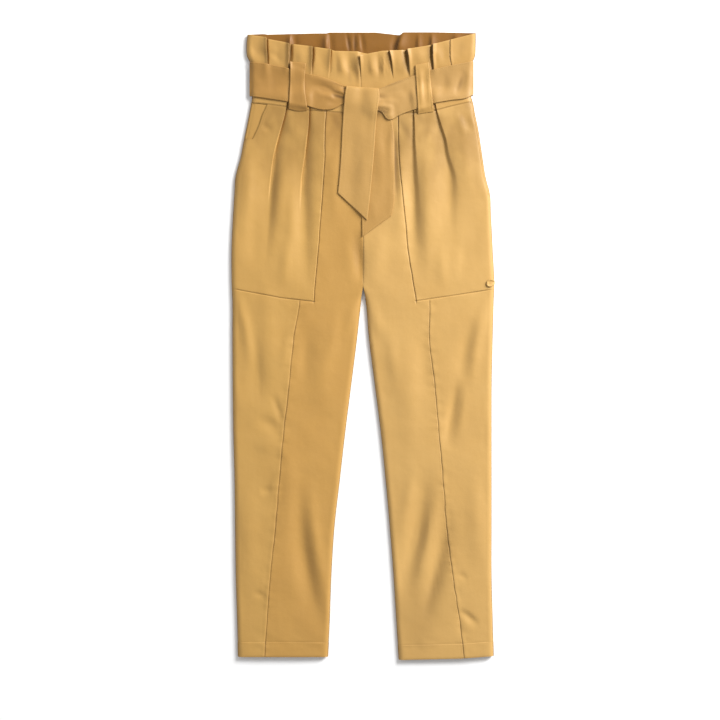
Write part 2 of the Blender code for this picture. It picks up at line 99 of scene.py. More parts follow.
def softNoise(x, up, size, seed):
    # smooth unevenness between -1 and 1, with lumps of the given size
    table = np.random.default_rng(seed).uniform(-1, 1, (64, 64))
    gx, gy = np.asarray(x) / size + 100.0, np.asarray(up) / size + 100.0
    ix, iy = np.floor(gx).astype(int), np.floor(gy).astype(int)
    tx, ty = easeIn(gx - ix), easeIn(gy - iy)

    def corner(i, j):
        return table[(ix + i) % 64, (iy + j) % 64]

    low = blendTo(corner(0, 0), corner(1, 0), tx)
    high = blendTo(corner(0, 1), corner(1, 1), tx)
    return blendTo(low, high, ty)


# The pattern of the trousers.

# A row for each section of a half: the edges, the pocket mouth, the two pleats, the seam beside the
# centre panel and the inner edge. Below the pocket panel the inner pleat is the leg's slanting seam.
sectionNames = ("up", "outer", "mouth", "pleatOut", "pleatIn", "inset", "inner")
leftRows = (
    (1036, -189.0, -159, -122, -84, -53, -9),
    (1010, -191.5, -159, -122, -84, -53, -7),
    (994, -190.0, -158, -122, -84, -54, -5),
    (982, -184.0, -158, -123, -85, -55, -4),
    (960, -181.8, -158, -123, -86, -57, -3),
    (930, -181.5, -157, -124, -87, -59, -2),
    (917, -183.5, -157, -125, -88, -61, 0),
    (898, -187.0, -165, -129, -89, -61, 0),
    (880, -190.5, -171, -134, -90, -62, 0),
    (856, -195.5, -182, -141, -93, -63, 0),
    (832, -200.0, -191, -147, -96, -63, 0),
    (794, -209.5, -200, -152, -101, -65, 0),
    (766, -211.3, -203, -155, -103, -67, 0),
    (739, -213.0, -204, -157, -104, -69, 0),
    (673, -216.0, -207, -160, -105, -74, 0),
    (617, -215.5, -206, -162, -105, -79, 0),
    (590, -214.5, -205, -163, -105, -81, -4),
    (535, -214.5, -205, -165, -114, -87, -10),
    (455, -214.0, -205, -169, -122, -92, -20),
    (376, -213.0, -204, -173, -131, -98, -30),
    (297, -211.0, -202, -176, -138, -104, -39),
    (218, -210.0, -201, -179, -145, -110, -48),
    (139, -209.0, -200, -182, -153, -115, -53),
    (59, -206.5, -197, -184, -159, -118, -56),
    (0, -205.0, -196, -185, -163, -120, -59),
)
rightRows = (
    (1036, 185.0, 144, 115, 70, 39, -9),
    (1010, 184.8, 144, 115, 72, 42, -7),
    (994, 183.5, 144, 115, 75, 46, -5),
    (982, 178.5, 146, 116, 76, 48, -4),
    (960, 176.8, 150, 117, 78, 50, -3),
    (930, 176.8, 158, 118, 81, 54, -2),
    (917, 180.5, 177.5, 119, 84, 57, 0),
    (898, 184.0, 181, 123, 84, 58, 0),
    (880, 188.0, 185, 128, 84, 58, 0),
    (856, 192.0, 189, 135, 84, 58, 0),
    (832, 195.5, 192.5, 139, 85, 59, 0),
    (794, 201.5, 198.5, 150, 87, 62, 0),
    (766, 208.5, 205.5, 153, 88.5, 65, 0),
    (739, 209.8, 201, 155, 90, 68, 0),
    (673, 213.0, 204, 158, 96, 74, 0),
    (617, 215.5, 207, 160, 108, 83, 0),
    (591, 214.5, 205, 161, 110, 87, 5),
    (535, 213.0, 204, 162, 109, 84, 10),
    (455, 211.2, 202, 165, 118, 88, 20),
    (376, 211.0, 202, 169, 125, 93, 30),
    (297, 211.0, 202, 172, 132, 99, 38),
    (218, 211.0, 202, 175, 138, 105, 45),
    (139, 211.0, 202, 178, 148, 110, 51),
    (59, 213.0, 204, 183, 160, 114, 56),
    (0, 214.5, 205, 187, 167, 116, 60),
)


def makeHalf(word, side, rows):
    columns = dict(zip(sectionNames, zip(*reversed(rows))))
    return {"word": word, "title": word.capitalize(), "side": side, "lines": columns}


leftHalf = makeHalf("left", -1, leftRows)
rightHalf = makeHalf("right", 1, rightRows)


def lineAt(half, name, up):
    lines = half["lines"]
    return smoothLine(lines["up"], lines[name], up)


# Lines that cross the garment, as points of x and up from left to right.
frontEdge = {
    "left": ((-195, 1030.5), (-187, 1029.5), (-160, 1025.5), (-158, 1023), (-128, 1017), (-122.5, 1015),
             (-86, 1010.5), (-53, 1005.5), (-47, 1003), (-9, 1002), (4, 999)),
    "right": ((-9, 995), (7, 998), (31, 1003), (44, 1003.5), (68, 1004.5), (76, 1006.5), (108, 1012),
              (150, 1023), (185, 1032)),
}
backEdge = {
    "left": ((-195, 1030), (-187, 1030.5), (-163, 1031.5), (-158, 1030.5), (-80, 1032.5), (-60, 1032.5),
             (-56, 1034), (0, 1034)),
    "right": ((0, 1034), (20, 1034), (61, 1029.5), (66, 1034.4), (120, 1034.4), (185, 1033)),
}
waistSeam = {
    "left": ((-195, 919), (-183, 918), (-157, 915), (-129, 911), (-90, 905), (0, 899)),
    "right": ((0, 899), (90, 901), (125, 906), (147, 912), (181, 920), (195, 922)),
}
pocketSeam = {
    "left": ((-220, 612), (-214, 611), (-134, 596), (-81, 590), (0, 588)),
    "right": ((0, 588), (87, 591), (168, 603), (215, 610.5)),
}
hemEdge = {
    "left": ((-220, 5), (-56, 5)),
    "right": ((56, 0), (162, 2.5), (216, 6.5)),
}


def crossAt(course, half, x):
    return np.interp(x, *zip(*course[half["word"]]))


# The folds.

# Ridges and troughs of the cloth: x and up of one end and of the other, its height, which is below
# nought in a trough, how wide it is to its left and to its right, and how far its middle strays.
pocketFolds = (
    (-144, 880, -163, 640, -2.1, 22, 9, 0),
    (-99, 870, -94, 604, -2.0, 17, 11, 0),
    (-128, 840, -140, 700, 0.5, 9, 9, 0),
    (-114, 800, -120, 640, 0.7, 9, 12, 0),
    (-166, 880, -150, 872, -0.6, 4, 5, 0),
    (-128, 895, -100, 850, 0.5, 9, 12, 0),
    (-190, 830, -196, 700, 1.0, 12, 10, 3),
    (-178, 760, -182, 640, -0.8, 12, 12, 0),
    (-125, 700, -130, 610, 0.8, 9, 9, 0),
    (80, 870, 85, 612, -1.8, 14, 13, 0),
    (104, 850, 108, 620, 0.9, 9, 16, 0),
    (138, 870, 144, 690, -1.6, 18, 9, 1),
    (128, 690, 132, 606, 0.7, 10, 10, 0),
    (180, 740, 184, 630, -0.5, 13, 12, 1),
    (126, 900, 118, 850, -0.8, 9, 9, 0),
    (150, 905, 168, 860, 0.7, 6, 7, 2),
    (165, 900, 178, 868, -0.6, 5, 6, 0),
    (168, 880, 176, 760, 0.9, 12, 12, -3),
    (170, 700, 163, 620, -0.6, 9, 12, 0),
)
legFolds = (
    (-209, 612, -184, 470, 1.2, 9, 9, 4),
    (-183, 548, -172, 415, -0.8, 14, 9, 3),
    (-150, 440, -132, 384, -0.8, 6, 5, 2),
    (-118, 560, -134, 470, 0.6, 8, 7, 0),
    (-140, 330, -150, 250, 0.6, 7, 9, 0),
    (-160, 640, -150, 430, 0.9, 16, 18, 0),
    (-176, 400, -134, 372, -0.9, 12, 10, 3),
    (-178, 345, -136, 372, 0.7, 10, 12, -3),
    (-108, 300, -68, 40, -2.3, 18, 14, -8),
    (-88, 300, -58, 90, 1.1, 14, 10, -6),
    (-128, 380, -118, 190, 1.0, 14, 16, 2),
    (-62, 580, -70, 400, 0.9, 18, 16, 0),
    (-190, 300, -186, 90, 0.9, 14, 16, 0),
    (-183, 110, -158, 104, -0.6, 5, 6, 1),
    (-170, 276, -148, 282, -0.6, 6, 6, 1),
    (-92, 560, -104, 440, -0.8, 12, 14, 3),
    (-40, 590, -64, 470, 0.8, 10, 12, 3),
    (186, 566, 158, 450, -1.2, 13, 15, -4),
    (205, 600, 176, 440, 1.3, 10, 10, -5),
    (164, 462, 138, 344, -2.2, 9, 14, -4),
    (108, 320, 62, 96, -2.4, 15, 13, 3),
    (124, 290, 84, 100, 1.1, 8, 10, 2),
    (140, 250, 98, 56, -2.5, 11, 14, 3),
    (84, 330, 60, 200, 0.8, 10, 10, 2),
    (66, 560, 80, 330, 1.1, 20, 18, 2),
    (182, 330, 192, 140, 1.2, 16, 14, 0),
    (152, 141, 174, 134, -0.6, 5, 5, 1),
    (156, 84, 192, 56, -1.0, 7, 5, 1),
    (158, 80, 162, 36, -0.6, 5, 5, 0),
    (98, 560, 104, 430, -0.7, 12, 12, 0),
    (40, 560, 58, 430, 0.8, 10, 12, 0),
    (168, 470, 150, 350, 0.9, 12, 10, 2),
)
centreFolds = (
    (-30, 730, -14, 620, 0.4, 14, 14, 0),
    (54, 885, 56, 730, -1.5, 6, 6, 0),
    (-8, 712, -4, 622, -1.1, 11, 6, 0),
    (-50, 860, -44, 700, 0.7, 12, 12, 0),
    (52, 850, 62, 690, 0.8, 10, 10, 2),
    (30, 720, 16, 610, 0.9, 14, 14, 0),
    (-6, 690, -4, 610, -0.7, 8, 8, 0),
    (8, 600, 34, 520, 0.7, 10, 10, 0),
    (-8, 600, -34, 520, 0.7, 10, 10, 0),
)


# Painted shade, in the same way: places where the cloth's tone is made deeper because shade falls there,
# in hollows and below the belt.
shadedPlaces = (
    (52, 905, 84, 842, 0.55, 7, 8, 2),
    (53, 900, 58, 742, 0.95, 4, 4, -2),
    (88, 905, 100, 876, 0.35, 7, 7, 0),
    (112, 908, 132, 872, 0.3, 9, 9, 0),
    (150, 905, 172, 868, 0.3, 7, 7, 2),
    (-10, 725, -5, 622, 0.45, 12, 5, 0),
    (-52, 910, -34, 862, 0.45, 7, 8, 0),
    (-120, 905, -128, 850, 0.25, 6, 6, 0),
    (-150, 905, -166, 868, 0.3, 6, 6, 0),
    (-144, 850, -152, 690, 0.35, 3, 9, 0),
    (-97, 890, -94, 690, 0.35, 3, 13, 0),
    (-80, 900, -74, 780, 0.2, 12, 12, 0),
    (172, 850, 178, 610, 0.16, 15, 18, 0),
    (88, 850, 90, 640, 0.3, 8, 8, 0),
    (114, 290, 72, 104, 0.25, 10, 11, 3),
    (144, 240, 104, 60, 0.4, 10, 14, 3),
    (104, 170, 96, -20, 0.34, 36, 30, 0),
    (-96, 150, -90, -20, 0.2, 22, 24, 0),
    (-98, 290, -60, 50, 0.3, 12, 12, -8),
    (-150, 440, -134, 380, 0.25, 6, 5, 2),
    (160, 480, 148, 398, 0.3, 7, 9, 1),
)
# painted shade on the inside of the back waistband, in its folds and gaps
shadedInside = (
    (-122, 1038, -123, 990, 0.7, 6, 2, 0),
    (-63, 1038, -64, 990, 0.6, 6, 2, 0),
    (-26, 1038, -20, 990, 0.7, 2.5, 2.5, 0),
    (-13, 1038, -13, 990, 0.7, 2.5, 2.5, 0),
    (66, 1036, 50, 992, 0.8, 6, 2, -2),
    (90, 1038, 88, 990, 0.6, 3, 2, 0),
    (113, 1038, 111, 990, 0.6, 5, 2, 0),
    (152, 1038, 148, 990, 0.7, 7, 2, 0),
    (174, 1038, 170, 990, 0.9, 8, 4, 0),
    (-180, 1038, -160, 990, 0.5, 8, 8, 0),
)
# painted shade on the belt, in its hollows and folds near the knot and the loops
shadedBelt = (
    (-54, 932, -24, 923, 0.9, 3, 3, 0),
    (-66, 944, -30, 932, 0.35, 4, 4, 0),
    (16, 906, 46, 900, 0.9, 4, 3, 0),
    (16, 926, 48, 930, 0.35, 4, 4, 0),
    (-100, 966, -98, 914, 0.3, 4, 6, 0),
    (80, 955, 80, 905, 0.3, 5, 5, 0),
    (166, 970, 154, 930, 0.5, 3, 7, 0),
    (18, 938, 82, 959, 0.4, 3, 5, 0),
    (-90, 960, -30, 943, 0.3, 5, 2, 0),
    (-150, 980, -146, 924, 0.2, 6, 8, 0),
)
# painted shade on the under end: the belt's shadow across its top and a darker line down its right edge
shadedTail = (
    (8, 908, 44, 900, 0.8, 12, 8, 0),
    (46, 890, 48, 840, 0.3, 6, 4, 0),
)
# painted shade on the heading, in its gaps and folds
shadedHeading = (
    (-10, 1004, -7, 940, 0.75, 6, 2, 0),
    (-25, 996, -20, 940, 0.4, 4, 4, 0),
    (-40, 1002, -44, 948, 0.3, 3, 7, 0),
    (23, 1000, 30, 944, 0.3, 3, 4, 0),
    (68, 1002, 66, 956, 0.4, 6, 3, 0),
    (-100, 1010, -112, 972, 0.25, 8, 5, 0),
    (165, 1028, 150, 980, 0.35, 6, 8, 0),
    (-186, 1018, -158, 980, 0.3, 6, 6, 0),
    (128, 1016, 130, 980, 0.25, 4, 6, 0),
)


def foldField(table, x, up):
    total = np.zeros(np.broadcast(x, up).shape)
    for ax, au, bx, bu, height, out, into, bow in table:
        run = math.hypot(bx - ax, bu - au)
        tx, tu = (bx - ax) / run, (bu - au) / run
        along = ((x - ax) * tx + (up - au) * tu) / run
        across = -(x - ax) * tu + (up - au) * tx  # above nought to the right, going down
        inside = np.clip(along, 0, 1)
        across = across - bow * np.sin(np.pi * inside)
        width = np.where(across < 0, out, into)
        swell = np.sin(np.pi * inside) ** 1.3
        total += height * swell * bell(across, width)
    return total


# The pleats at the waist: which line each follows, where it starts and has died away, how proud its
# edge stands, how far that slopes off outwards, the depth, width and end of the trough inside it, and
# relax, how much softer the edge grows on its way down.
pleats = (
    {"half": "left", "line": "pleatOut", "top": 905, "low": 770, "rise": 1.7, "spread": 26,
     "trough": 4.8, "width": 13, "troughLow": 745, "relax": 2.0},
    {"half": "left", "line": "pleatIn", "top": 898, "low": 760, "rise": 1.7, "spread": 24,
     "trough": 5.2, "width": 14, "troughLow": 735, "relax": 2.0},
    {"half": "right", "line": "pleatIn", "top": 898, "low": 670, "rise": 1.7, "spread": 26,
     "trough": 3.4, "width": 13, "troughLow": 640, "relax": 20},
    {"half": "right", "line": "pleatOut", "top": 905, "low": 750, "rise": 2.0, "spread": 26,
     "trough": 3.0, "width": 12, "troughLow": 735, "relax": 14},
)


def pleatField(half, x, up):
    total = np.zeros(np.broadcast(x, up).shape)
    for pleat in pleats:
        if pleat["half"] != half["word"]:
            continue
        out = half["side"] * (x - lineAt(half, pleat["line"], up))
        down = np.clip((pleat["top"] - up) / (pleat["top"] - pleat["low"]), 0, 1)
        soft = 0.5 + pleat["relax"] * down**0.95
        step = easeIn(out / soft + 0.5)
        slope = np.exp(-np.maximum(out, 0) / pleat["spread"])
        total += pleat["rise"] * (1 - down) ** 0.8 * (1 - down * down) * step * slope
        deep = np.clip((pleat["top"] - up) / (pleat["top"] - pleat["troughLow"]), 0, 1)
        width = blendTo(2.2, pleat["width"], easeIn(deep * 2.0))
        inside = np.sqrt(np.maximum(-out - 0.2 * soft, 0) ** 2 + (0.25 * soft) ** 2)
        trough = np.exp(-inside / width) * (1 - step)
        fade = blendTo(0.75, 1.0, easeIn(deep * 4)) * (1 - easeIn((deep - 0.45) / 0.55))
        total -= pleat["trough"] * fade * trough
    return total


# How high the cloth lies.

frontForm = {
    "side": 3.5,  # height of the side seam
    "top": 7.8,
    "crown": 0.7,  # how much more the middle of a panel rises
    "crownWidth": 60,
    "folds": 2.1,  # how much stronger the folds are than their tables
    "corner": 7.5,
    "settle": 13,  # folds die away this near an open edge
    "crotch": 617,
    "legsPart": 28,  # over this height the two legs come apart
    "hip": 585,  # the pocket panel's lines end here
    "pocketLift": 0.35,  # the pocket panel lies on the leg
    "ditch": 1.0,
    "legDitch": 0.6,
    "pucker": 0.5,
    "waistDip": 0.6,
    "hemRise": 0.35,
    "hemStitch": 24.6,
}
backForm = {
    "side": 3.0, "corner": 5.0, "rest": 0.12, "wave": 0.30,
    "seam": 0.35, "waistRise": 0.3, "hemStitch": 22.5,
}


def frontEdges(half, x, up):
    # distances in from the outer edge and, in the leg, from the inner one
    out = half["side"] * (lineAt(half, "outer", up) - x)
    into = half["side"] * (x - lineAt(half, "inner", up))
    return out, into


def legsApart(up):
    return easeIn((frontForm["crotch"] - up) / frontForm["legsPart"])


def frontHeight(half, x, up):
    side = half["side"]
    out, into = frontEdges(half, x, up)
    free = legsApart(up)
    nearest = np.minimum(out, blendTo(80.0, into, free))
    flat = frontForm["top"] + frontForm["crown"] * easeIn(nearest / frontForm["crownWidth"])
    corner, near = frontForm["corner"], frontForm["settle"]
    shape = roundEdge(out, corner) * blendTo(1.0, roundEdge(into, corner), free)
    settle = easeIn(out / near) * blendTo(1.0, easeIn(into / near), free)
    relief = foldField(pocketFolds, x, up) * easeIn((up - 596) / 30)
    relief += foldField(legFolds, x, up) * easeIn(up / 40)
    relief += foldField(centreFolds, x, up)
    relief *= frontForm["folds"]
    relief += pleatField(half, x, up)
    relief += 0.55 * softNoise(x, up, 46, 3) + 0.20 * softNoise(x, up, 19, 4)
    # seams wander a little and pucker the cloth beside them
    wander = 0.5 * softNoise(x * 0.2, up, 13, 5)
    inset = lineAt(half, "inset", up)
    below = up - crossAt(pocketSeam, half, x)
    fromInset = side * (x - inset) + 0.5 * wander
    slant = side * (x - lineAt(half, "pleatIn", up)) + wander
    fromHem = up - crossAt(hemEdge, half, x)
    hip = easeIn((up - frontForm["hip"]) / 6)
    leg = easeIn((crossAt(pocketSeam, half, x) - up) / 4)
    pucker = leg * bell(slant, 9) + 0.7 * hip * bell(fromInset, 7)
    pucker += 0.6 * bell(below, 7) * easeIn(fromInset / 3) + 0.8 * bell(fromHem - 24, 9)
    relief += frontForm["pucker"] * pucker * softNoise(x * 0.45, up, 6.5, 6)
    relief += frontForm["pocketLift"] * easeIn(np.minimum(fromInset, below) / 1.3)
    ditch = frontForm["ditch"]
    relief -= ditch * bell(fromInset - 0.2, 0.75) * hip
    relief -= 0.7 * ditch * bell(below, 0.9) * easeIn(fromInset / 3 + 1)
    relief += leg * (0.2 * easeIn((slant + 0.6) / 1.2) * (1 - easeIn((slant - 3) / 4)))
    relief -= leg * frontForm["legDitch"] * ditch * bell(slant + 0.3, 0.75)
    relief -= 0.5 * bell(x, 1.0) * easeIn((up - frontForm["crotch"]) / 4)
    fromWaist = crossAt(waistSeam, half, x) - up
    relief -= frontForm["waistDip"] * bell(fromWaist, 1.3)
    relief += frontForm["hemRise"] * (1 - easeIn((fromHem - 24) / 2.2))
    relief -= 0.55 * bell(fromHem - frontForm["hemStitch"], 0.8)
    relief -= 0.6 * bell(fromHem, 1.2)
    return frontForm["side"] + (flat - frontForm["side"]) * shape + relief * settle


# Painted shade along each sewn line: how much deeper the tone is there, at most one.
seamShade = {"slant": 0.85, "inset": 0.75, "pocketLow": 0.45, "centre": 0.6, "hem": 0.35, "waist": 0.6}


def withPaintedShade(seams, places, x, up):
    # painted shade of the sewn lines and of the shaded places together, at most one
    return np.clip(seams + np.clip(foldField(places, x, up), 0, 1), 0, 1)


def frontPaintedShade(half, x, up):
    # painted shade: how deep the cloth's tone is made, dark along the sewn lines, softer in the shaded
    # places
    wander = 0.6 * softNoise(x * 0.2, up, 13, 5)
    slant = half["side"] * (x - lineAt(half, "pleatIn", up)) + wander
    fromInset = half["side"] * (x - lineAt(half, "inset", up)) + 0.5 * wander
    below = up - crossAt(pocketSeam, half, x)
    fromHem = up - crossAt(hemEdge, half, x)
    hip, leg = easeIn((below + 4) / 4), easeIn(-below / 4)
    uneven = 0.75 + 0.25 * softNoise(x * 0.3, up, 17, 9)
    seams = seamShade["slant"] * leg * bell(slant + 0.4, 0.9)
    seams += seamShade["inset"] * hip * bell(fromInset - 0.2, 0.9)
    seams += seamShade["pocketLow"] * bell(below, 0.9) * easeIn(fromInset / 3 + 1)
    seams += seamShade["centre"] * bell(x, 0.9) * hip
    seams += seamShade["hem"] * bell(fromHem - frontForm["hemStitch"], 0.8)
    seams += seamShade["waist"] * bell(crossAt(waistSeam, half, x) - up, 1.6)
    return withPaintedShade(seams * uneven, shadedPlaces, x, up)


def bandPaintedShade(half, x, up):
    # painted shade on the waistband and heading: dark along the waist seam, in the heading's gaps and in
    # its shaded places
    opened = easeIn((up - 950) / 30)
    c = half["side"] * x
    shade = seamShade["waist"] * bell(up - crossAt(waistSeam, half, x), 1.6)
    for name, _, gap, width in headingFolds[half["word"]]:
        inside = half["side"] * lineAt(half, name, up) - c
        shade = shade + min(0.8, 0.2 + 0.15 * gap) * opened * bell(inside - 0.7 * width, width + 0.4)
    return withPaintedShade(shade, shadedHeading, x, up)


headingForm = {"closed": 5.9, "open": 8.4, "opens": 955, "joins": 922, "clear": 0.2}
# The heading's folds above the belt, from the centre outwards: the line each follows, how far its
# inner edge stands up, and the depth and width of the gap inside it.
headingFolds = {
    "left": (("inner", 0.3, 0.0, 1.0), ("inset", 2.2, 1.8, 0.9), ("pleatIn", 3.6, 3.6, 1.6),
             ("pleatOut", 4.3, 4.8, 2.6), ("mouth", 3.0, 2.8, 1.1)),
    "right": (("inner", 3.4, 0.0, 1.0), ("inset", 3.2, 3.0, 1.3), ("pleatIn", 3.8, 4.6, 2.7),
              ("pleatOut", 3.8, 4.4, 2.0), ("mouth", 0.9, 0.7, 0.7)),
}
headingRipples = (
    (-40, 1006, -32, 948, 1.8, 5, 6, 1),
    (-24, 1006, -17, 942, -2.3, 6, 6, -1),
    (-11, 1006, -9, 944, 1.7, 4, 4, 0),
    (-18, 965, 4, 946, -1.8, 4, 7, 0),
    (12, 1002, 18, 938, 1.8, 4, 6, 0),
    (24, 1004, 26, 940, -2.2, 4, 4, 1),
    (35, 1005, 34, 944, 1.1, 4, 4, 0),
    (31, 1004, 31, 944, -0.9, 0.8, 0.8, 0),
    (36.5, 1004, 36.5, 950, -0.9, 0.8, 0.8, 0),
    (-50, 1004, -56, 950, -0.9, 0.8, 0.8, 0),
    (-68, 1006, -66, 965, -1.2, 8, 8, 0),
    (-104, 1014, -104, 980, 0.9, 8, 8, 0),
    (-138, 1018, -142, 982, -0.9, 6, 8, 0),
    (-174, 1028, -172, 985, -1.6, 9, 7, 0),
    (-186, 1014, -150, 982, -1.6, 7, 6, 2),
    (-165, 1005, -130, 984, -1.0, 5, 6, 2),
    (58, 1003, 60, 960, 1.3, 7, 6, 1),
    (92, 1010, 94, 980, 1.0, 8, 8, 0),
    (132, 1018, 134, 980, -1.3, 7, 7, 0),
    (178, 1026, 148, 982, -1.6, 8, 6, -2),
    (165, 1028, 167, 992, 1.3, 8, 8, 0),
    (122, 1000, 112, 975, -1.2, 5, 5, 0),
)


def headingHeight(half, x, up):
    side = half["side"]
    out, _ = frontEdges(half, x, up)
    opened = easeIn((up - headingForm["opens"]) / 45)
    folds = headingFolds[half["word"]]
    names = [fold[0] for fold in folds] + ["outer"]
    lines = [side * lineAt(half, name, up) for name in names]
    c = side * x
    relief = np.zeros(np.broadcast(x, up).shape)
    for index, (name, rise, gap, width) in enumerate(folds):
        inside, outside = lines[index], lines[index + 1]
        share = np.clip((outside - c) / (outside - inside), 0, 1)
        here = (c >= inside) & (c < outside)
        curl = 0.7 * rise * bell(c - inside, 3.5)
        relief += np.where(here, rise * share**1.2 * 0.7 + curl, 0)
        relief -= gap * bell(inside - c - width, width) * (c < inside)
    relief += foldField(headingRipples, x, up) / np.maximum(opened, 0.35)
    flat = blendTo(headingForm["closed"], headingForm["open"], opened)
    settle = easeIn(out / 9)
    shape = roundEdge(out, frontForm["corner"])
    edge = crossAt(frontEdge, half, x) - up
    relief = relief * opened - 0.35 * bell(edge, 0.9) + 0.2 * softNoise(x, up, 15, 8)
    return frontForm["side"] + (flat - frontForm["side"]) * shape + relief * settle


def bandHeight(half, x, up):
    low = frontHeight(half, x, up)
    free = blendTo(low, headingHeight(half, x, up), easeIn((up - headingForm["joins"]) / 22))
    # the deep gaps come down on the back's cloth and no further
    out, _ = frontEdges(half, x, up)
    fold = blendTo(cloth["heading"], cloth["wall"], easeIn((crossAt(frontEdge, half, x) - up) / 4))
    onBack = backBandHeight(half, x, up) + cloth["wall"] + fold + headingForm["clear"]
    return np.maximum(free, onBack - 5 * (1 - easeIn((out - 1) / 6)))


def backHeight(half, x, up):
    # lower, outer face of the back
    out, into = frontEdges(half, x, up)
    corner = backForm["corner"]
    shape = roundEdge(out, corner) * blendTo(1.0, roundEdge(into, corner), legsApart(up))
    wave = backForm["wave"] * (1 + softNoise(x, up, 60, 11)) * easeIn(out / 20)
    return backForm["rest"] + wave * shape + (backForm["side"] - backForm["rest"]) * (1 - shape)


backRipples = (
    (-168, 1034, -164, 985, 1.0, 5, 6, 0),
    (-120, 1036, -122, 985, 1.7, 9, 2.5, 0),
    (-112, 1036, -113, 985, -1.0, 3, 6, 0),
    (-60, 1036, -60, 990, 1.7, 9, 2.5, 0),
    (-54, 1036, -53, 990, -0.9, 3, 6, 0),
    (-28, 1036, -20, 985, -1.0, 2.5, 4, 1),
    (-13, 1036, -14, 985, -1.0, 2.5, 4, 0),
    (-4, 1036, 2, 990, -1.0, 3, 4, 0),
    (56, 1034, 50, 990, -1.4, 4, 6, -2),
    (68, 1036, 54, 990, 2.0, 3, 9, -2),
    (92, 1036, 90, 990, 1.0, 3, 5, 0),
    (114, 1036, 112, 990, 1.2, 3, 6, 0),
    (154, 1036, 150, 990, 1.4, 3, 7, 0),
    (174, 1036, 172, 990, -1.2, 4, 4, 0),
)
backLoops = (-105.0, 105.0)
backLift = {"belt": 1.9, "loop": 1.5, "heading": 1.6, "ripple": 1.9, "least": 0.12, "most": 5.0}


def overLoops(x):
    nearest = np.min([np.abs(x - centre) for centre in backLoops], axis=0)
    return backLift["loop"] * (1 - easeIn((nearest - 15) / 13))


def backBandHeight(half, x, up):
    # lower face of the back waistband: over the belt, then free above it
    out, _ = frontEdges(half, x, up)
    lift = backLift["belt"] * easeIn((up - 915) / 9) * (1 - easeIn((up - 990) / 14))
    lift = lift + overLoops(x) * easeIn((up - 912) / 9) * (1 - easeIn((up - 998) / 12))
    free = easeIn((up - 992) / 20)
    lift = lift + free * (backLift["heading"] + backLift["ripple"] * foldField(backRipples, x, up))
    lift = np.clip(lift, backLift["least"], backLift["most"])
    lift = blendTo(np.minimum(lift, 2.0), lift, easeIn((out - 4) / 12))
    shape = roundEdge(out, backForm["corner"])
    return lift * shape + backForm["side"] * (1 - shape)


# What already lies at each place: the highest cloth so far, felt in small squares.
coverGrid = {"left": -222.0, "low": 594.0, "step": 1.5, "columns": 297, "rows": 300}
coverX, coverUp = np.meshgrid(
    coverGrid["left"] + coverGrid["step"] * np.arange(coverGrid["columns"]),
    coverGrid["low"] + coverGrid["step"] * np.arange(coverGrid["rows"]),
)


def coverFronts():
    total = np.full(coverX.shape, frontForm["side"])
    for half in (leftHalf, rightHalf):
        out = half["side"] * (lineAt(half, "outer", coverUp) - coverX)
        mine = (out > 0) & (half["side"] * coverX > 0)
        band = coverUp >= crossAt(waistSeam, half, coverX)
        under = coverUp <= crossAt(frontEdge, half, coverX)
        total = np.where(mine & ~band, frontHeight(half, coverX, coverUp), total)
        total = np.where(mine & band & under, bandHeight(half, coverX, coverUp), total)
    return total


def besideIt(field, axis):
    # the squares one step back, the field itself and the squares one step on
    wide = np.pad(field, ((0, 0), (1, 1)) if axis else ((1, 1), (0, 0)), mode="edge")
    return (wide[:, :-2], field, wide[:, 2:]) if axis else (wide[:-2], field, wide[2:])


def spread(field, reach, blur):
    # highest within reach, then softened
    for turn in range(reach + blur):
        for axis in (1, 0):
            back, middle, on = besideIt(field, axis)
            field = np.max([back, middle, on], axis=0) if turn < reach else (back + 2 * middle + on) / 4
    return field


def feel(field, x, up):
    gx = np.clip((x - coverGrid["left"]) / coverGrid["step"], 0, field.shape[1] - 1.001)
    gy = np.clip((up - coverGrid["low"]) / coverGrid["step"], 0, field.shape[0] - 1.001)
    ix, iy = gx.astype(int), gy.astype(int)
    tx, ty = gx - ix, gy - iy
    low = blendTo(field[iy, ix], field[iy, ix + 1], tx)
    high = blendTo(field[iy + 1, ix], field[iy + 1, ix + 1], tx)
    return blendTo(low, high, ty)


def addCover(field, x, up, z):
    # lays a grid of points on the squares, filled in between
    fine = 3
    for i in range(fine):
        for j in range(fine):
            a, b = i / fine, j / fine
            grids = [
                blendTo(blendTo(g[:-1, :-1], g[:-1, 1:], a), blendTo(g[1:, :-1], g[1:, 1:], a), b)
                for g in (x, up, z)
            ]
            ix = np.rint((grids[0] - coverGrid["left"]) / coverGrid["step"]).astype(int)
            iy = np.rint((grids[1] - coverGrid["low"]) / coverGrid["step"]).astype(int)
            inside = (ix >= 0) & (iy >= 0) & (ix < field.shape[1]) & (iy < field.shape[0])
            np.maximum.at(field, (iy[inside], ix[inside]), grids[2][inside])


# The cloth itself.

cloth = {"wall": 0.9, "hem": 1.9, "heading": 1.7, "belt": 1.5, "loop": 1.2}
madePieces = {}


def steps(start, end, gap, close=(), closeEnd=()):
    # places from start to end: close ones near each end, then even ones
    first = [start + offset for offset in close]
    last = [end - offset for offset in reversed(closeEnd)]
    a = first[-1] if first else start
    b = last[0] if last else end
    count = max(1, int(round((b - a) / gap)))
    middle = [blendTo(a, b, i / count) for i in range(count + 1)]
    return first[:-1] + middle + last[1:] if first and last else sorted(set(first + middle + last))


def normalsOf(points):
    along = np.gradient(points, axis=1)
    down = np.gradient(points, axis=0)
    normal = np.cross(along, down)
    normal /= np.linalg.norm(normal, axis=2, keepdims=True) + 1e-9
    return np.where(normal[..., 2:] < 0, -normal, normal)


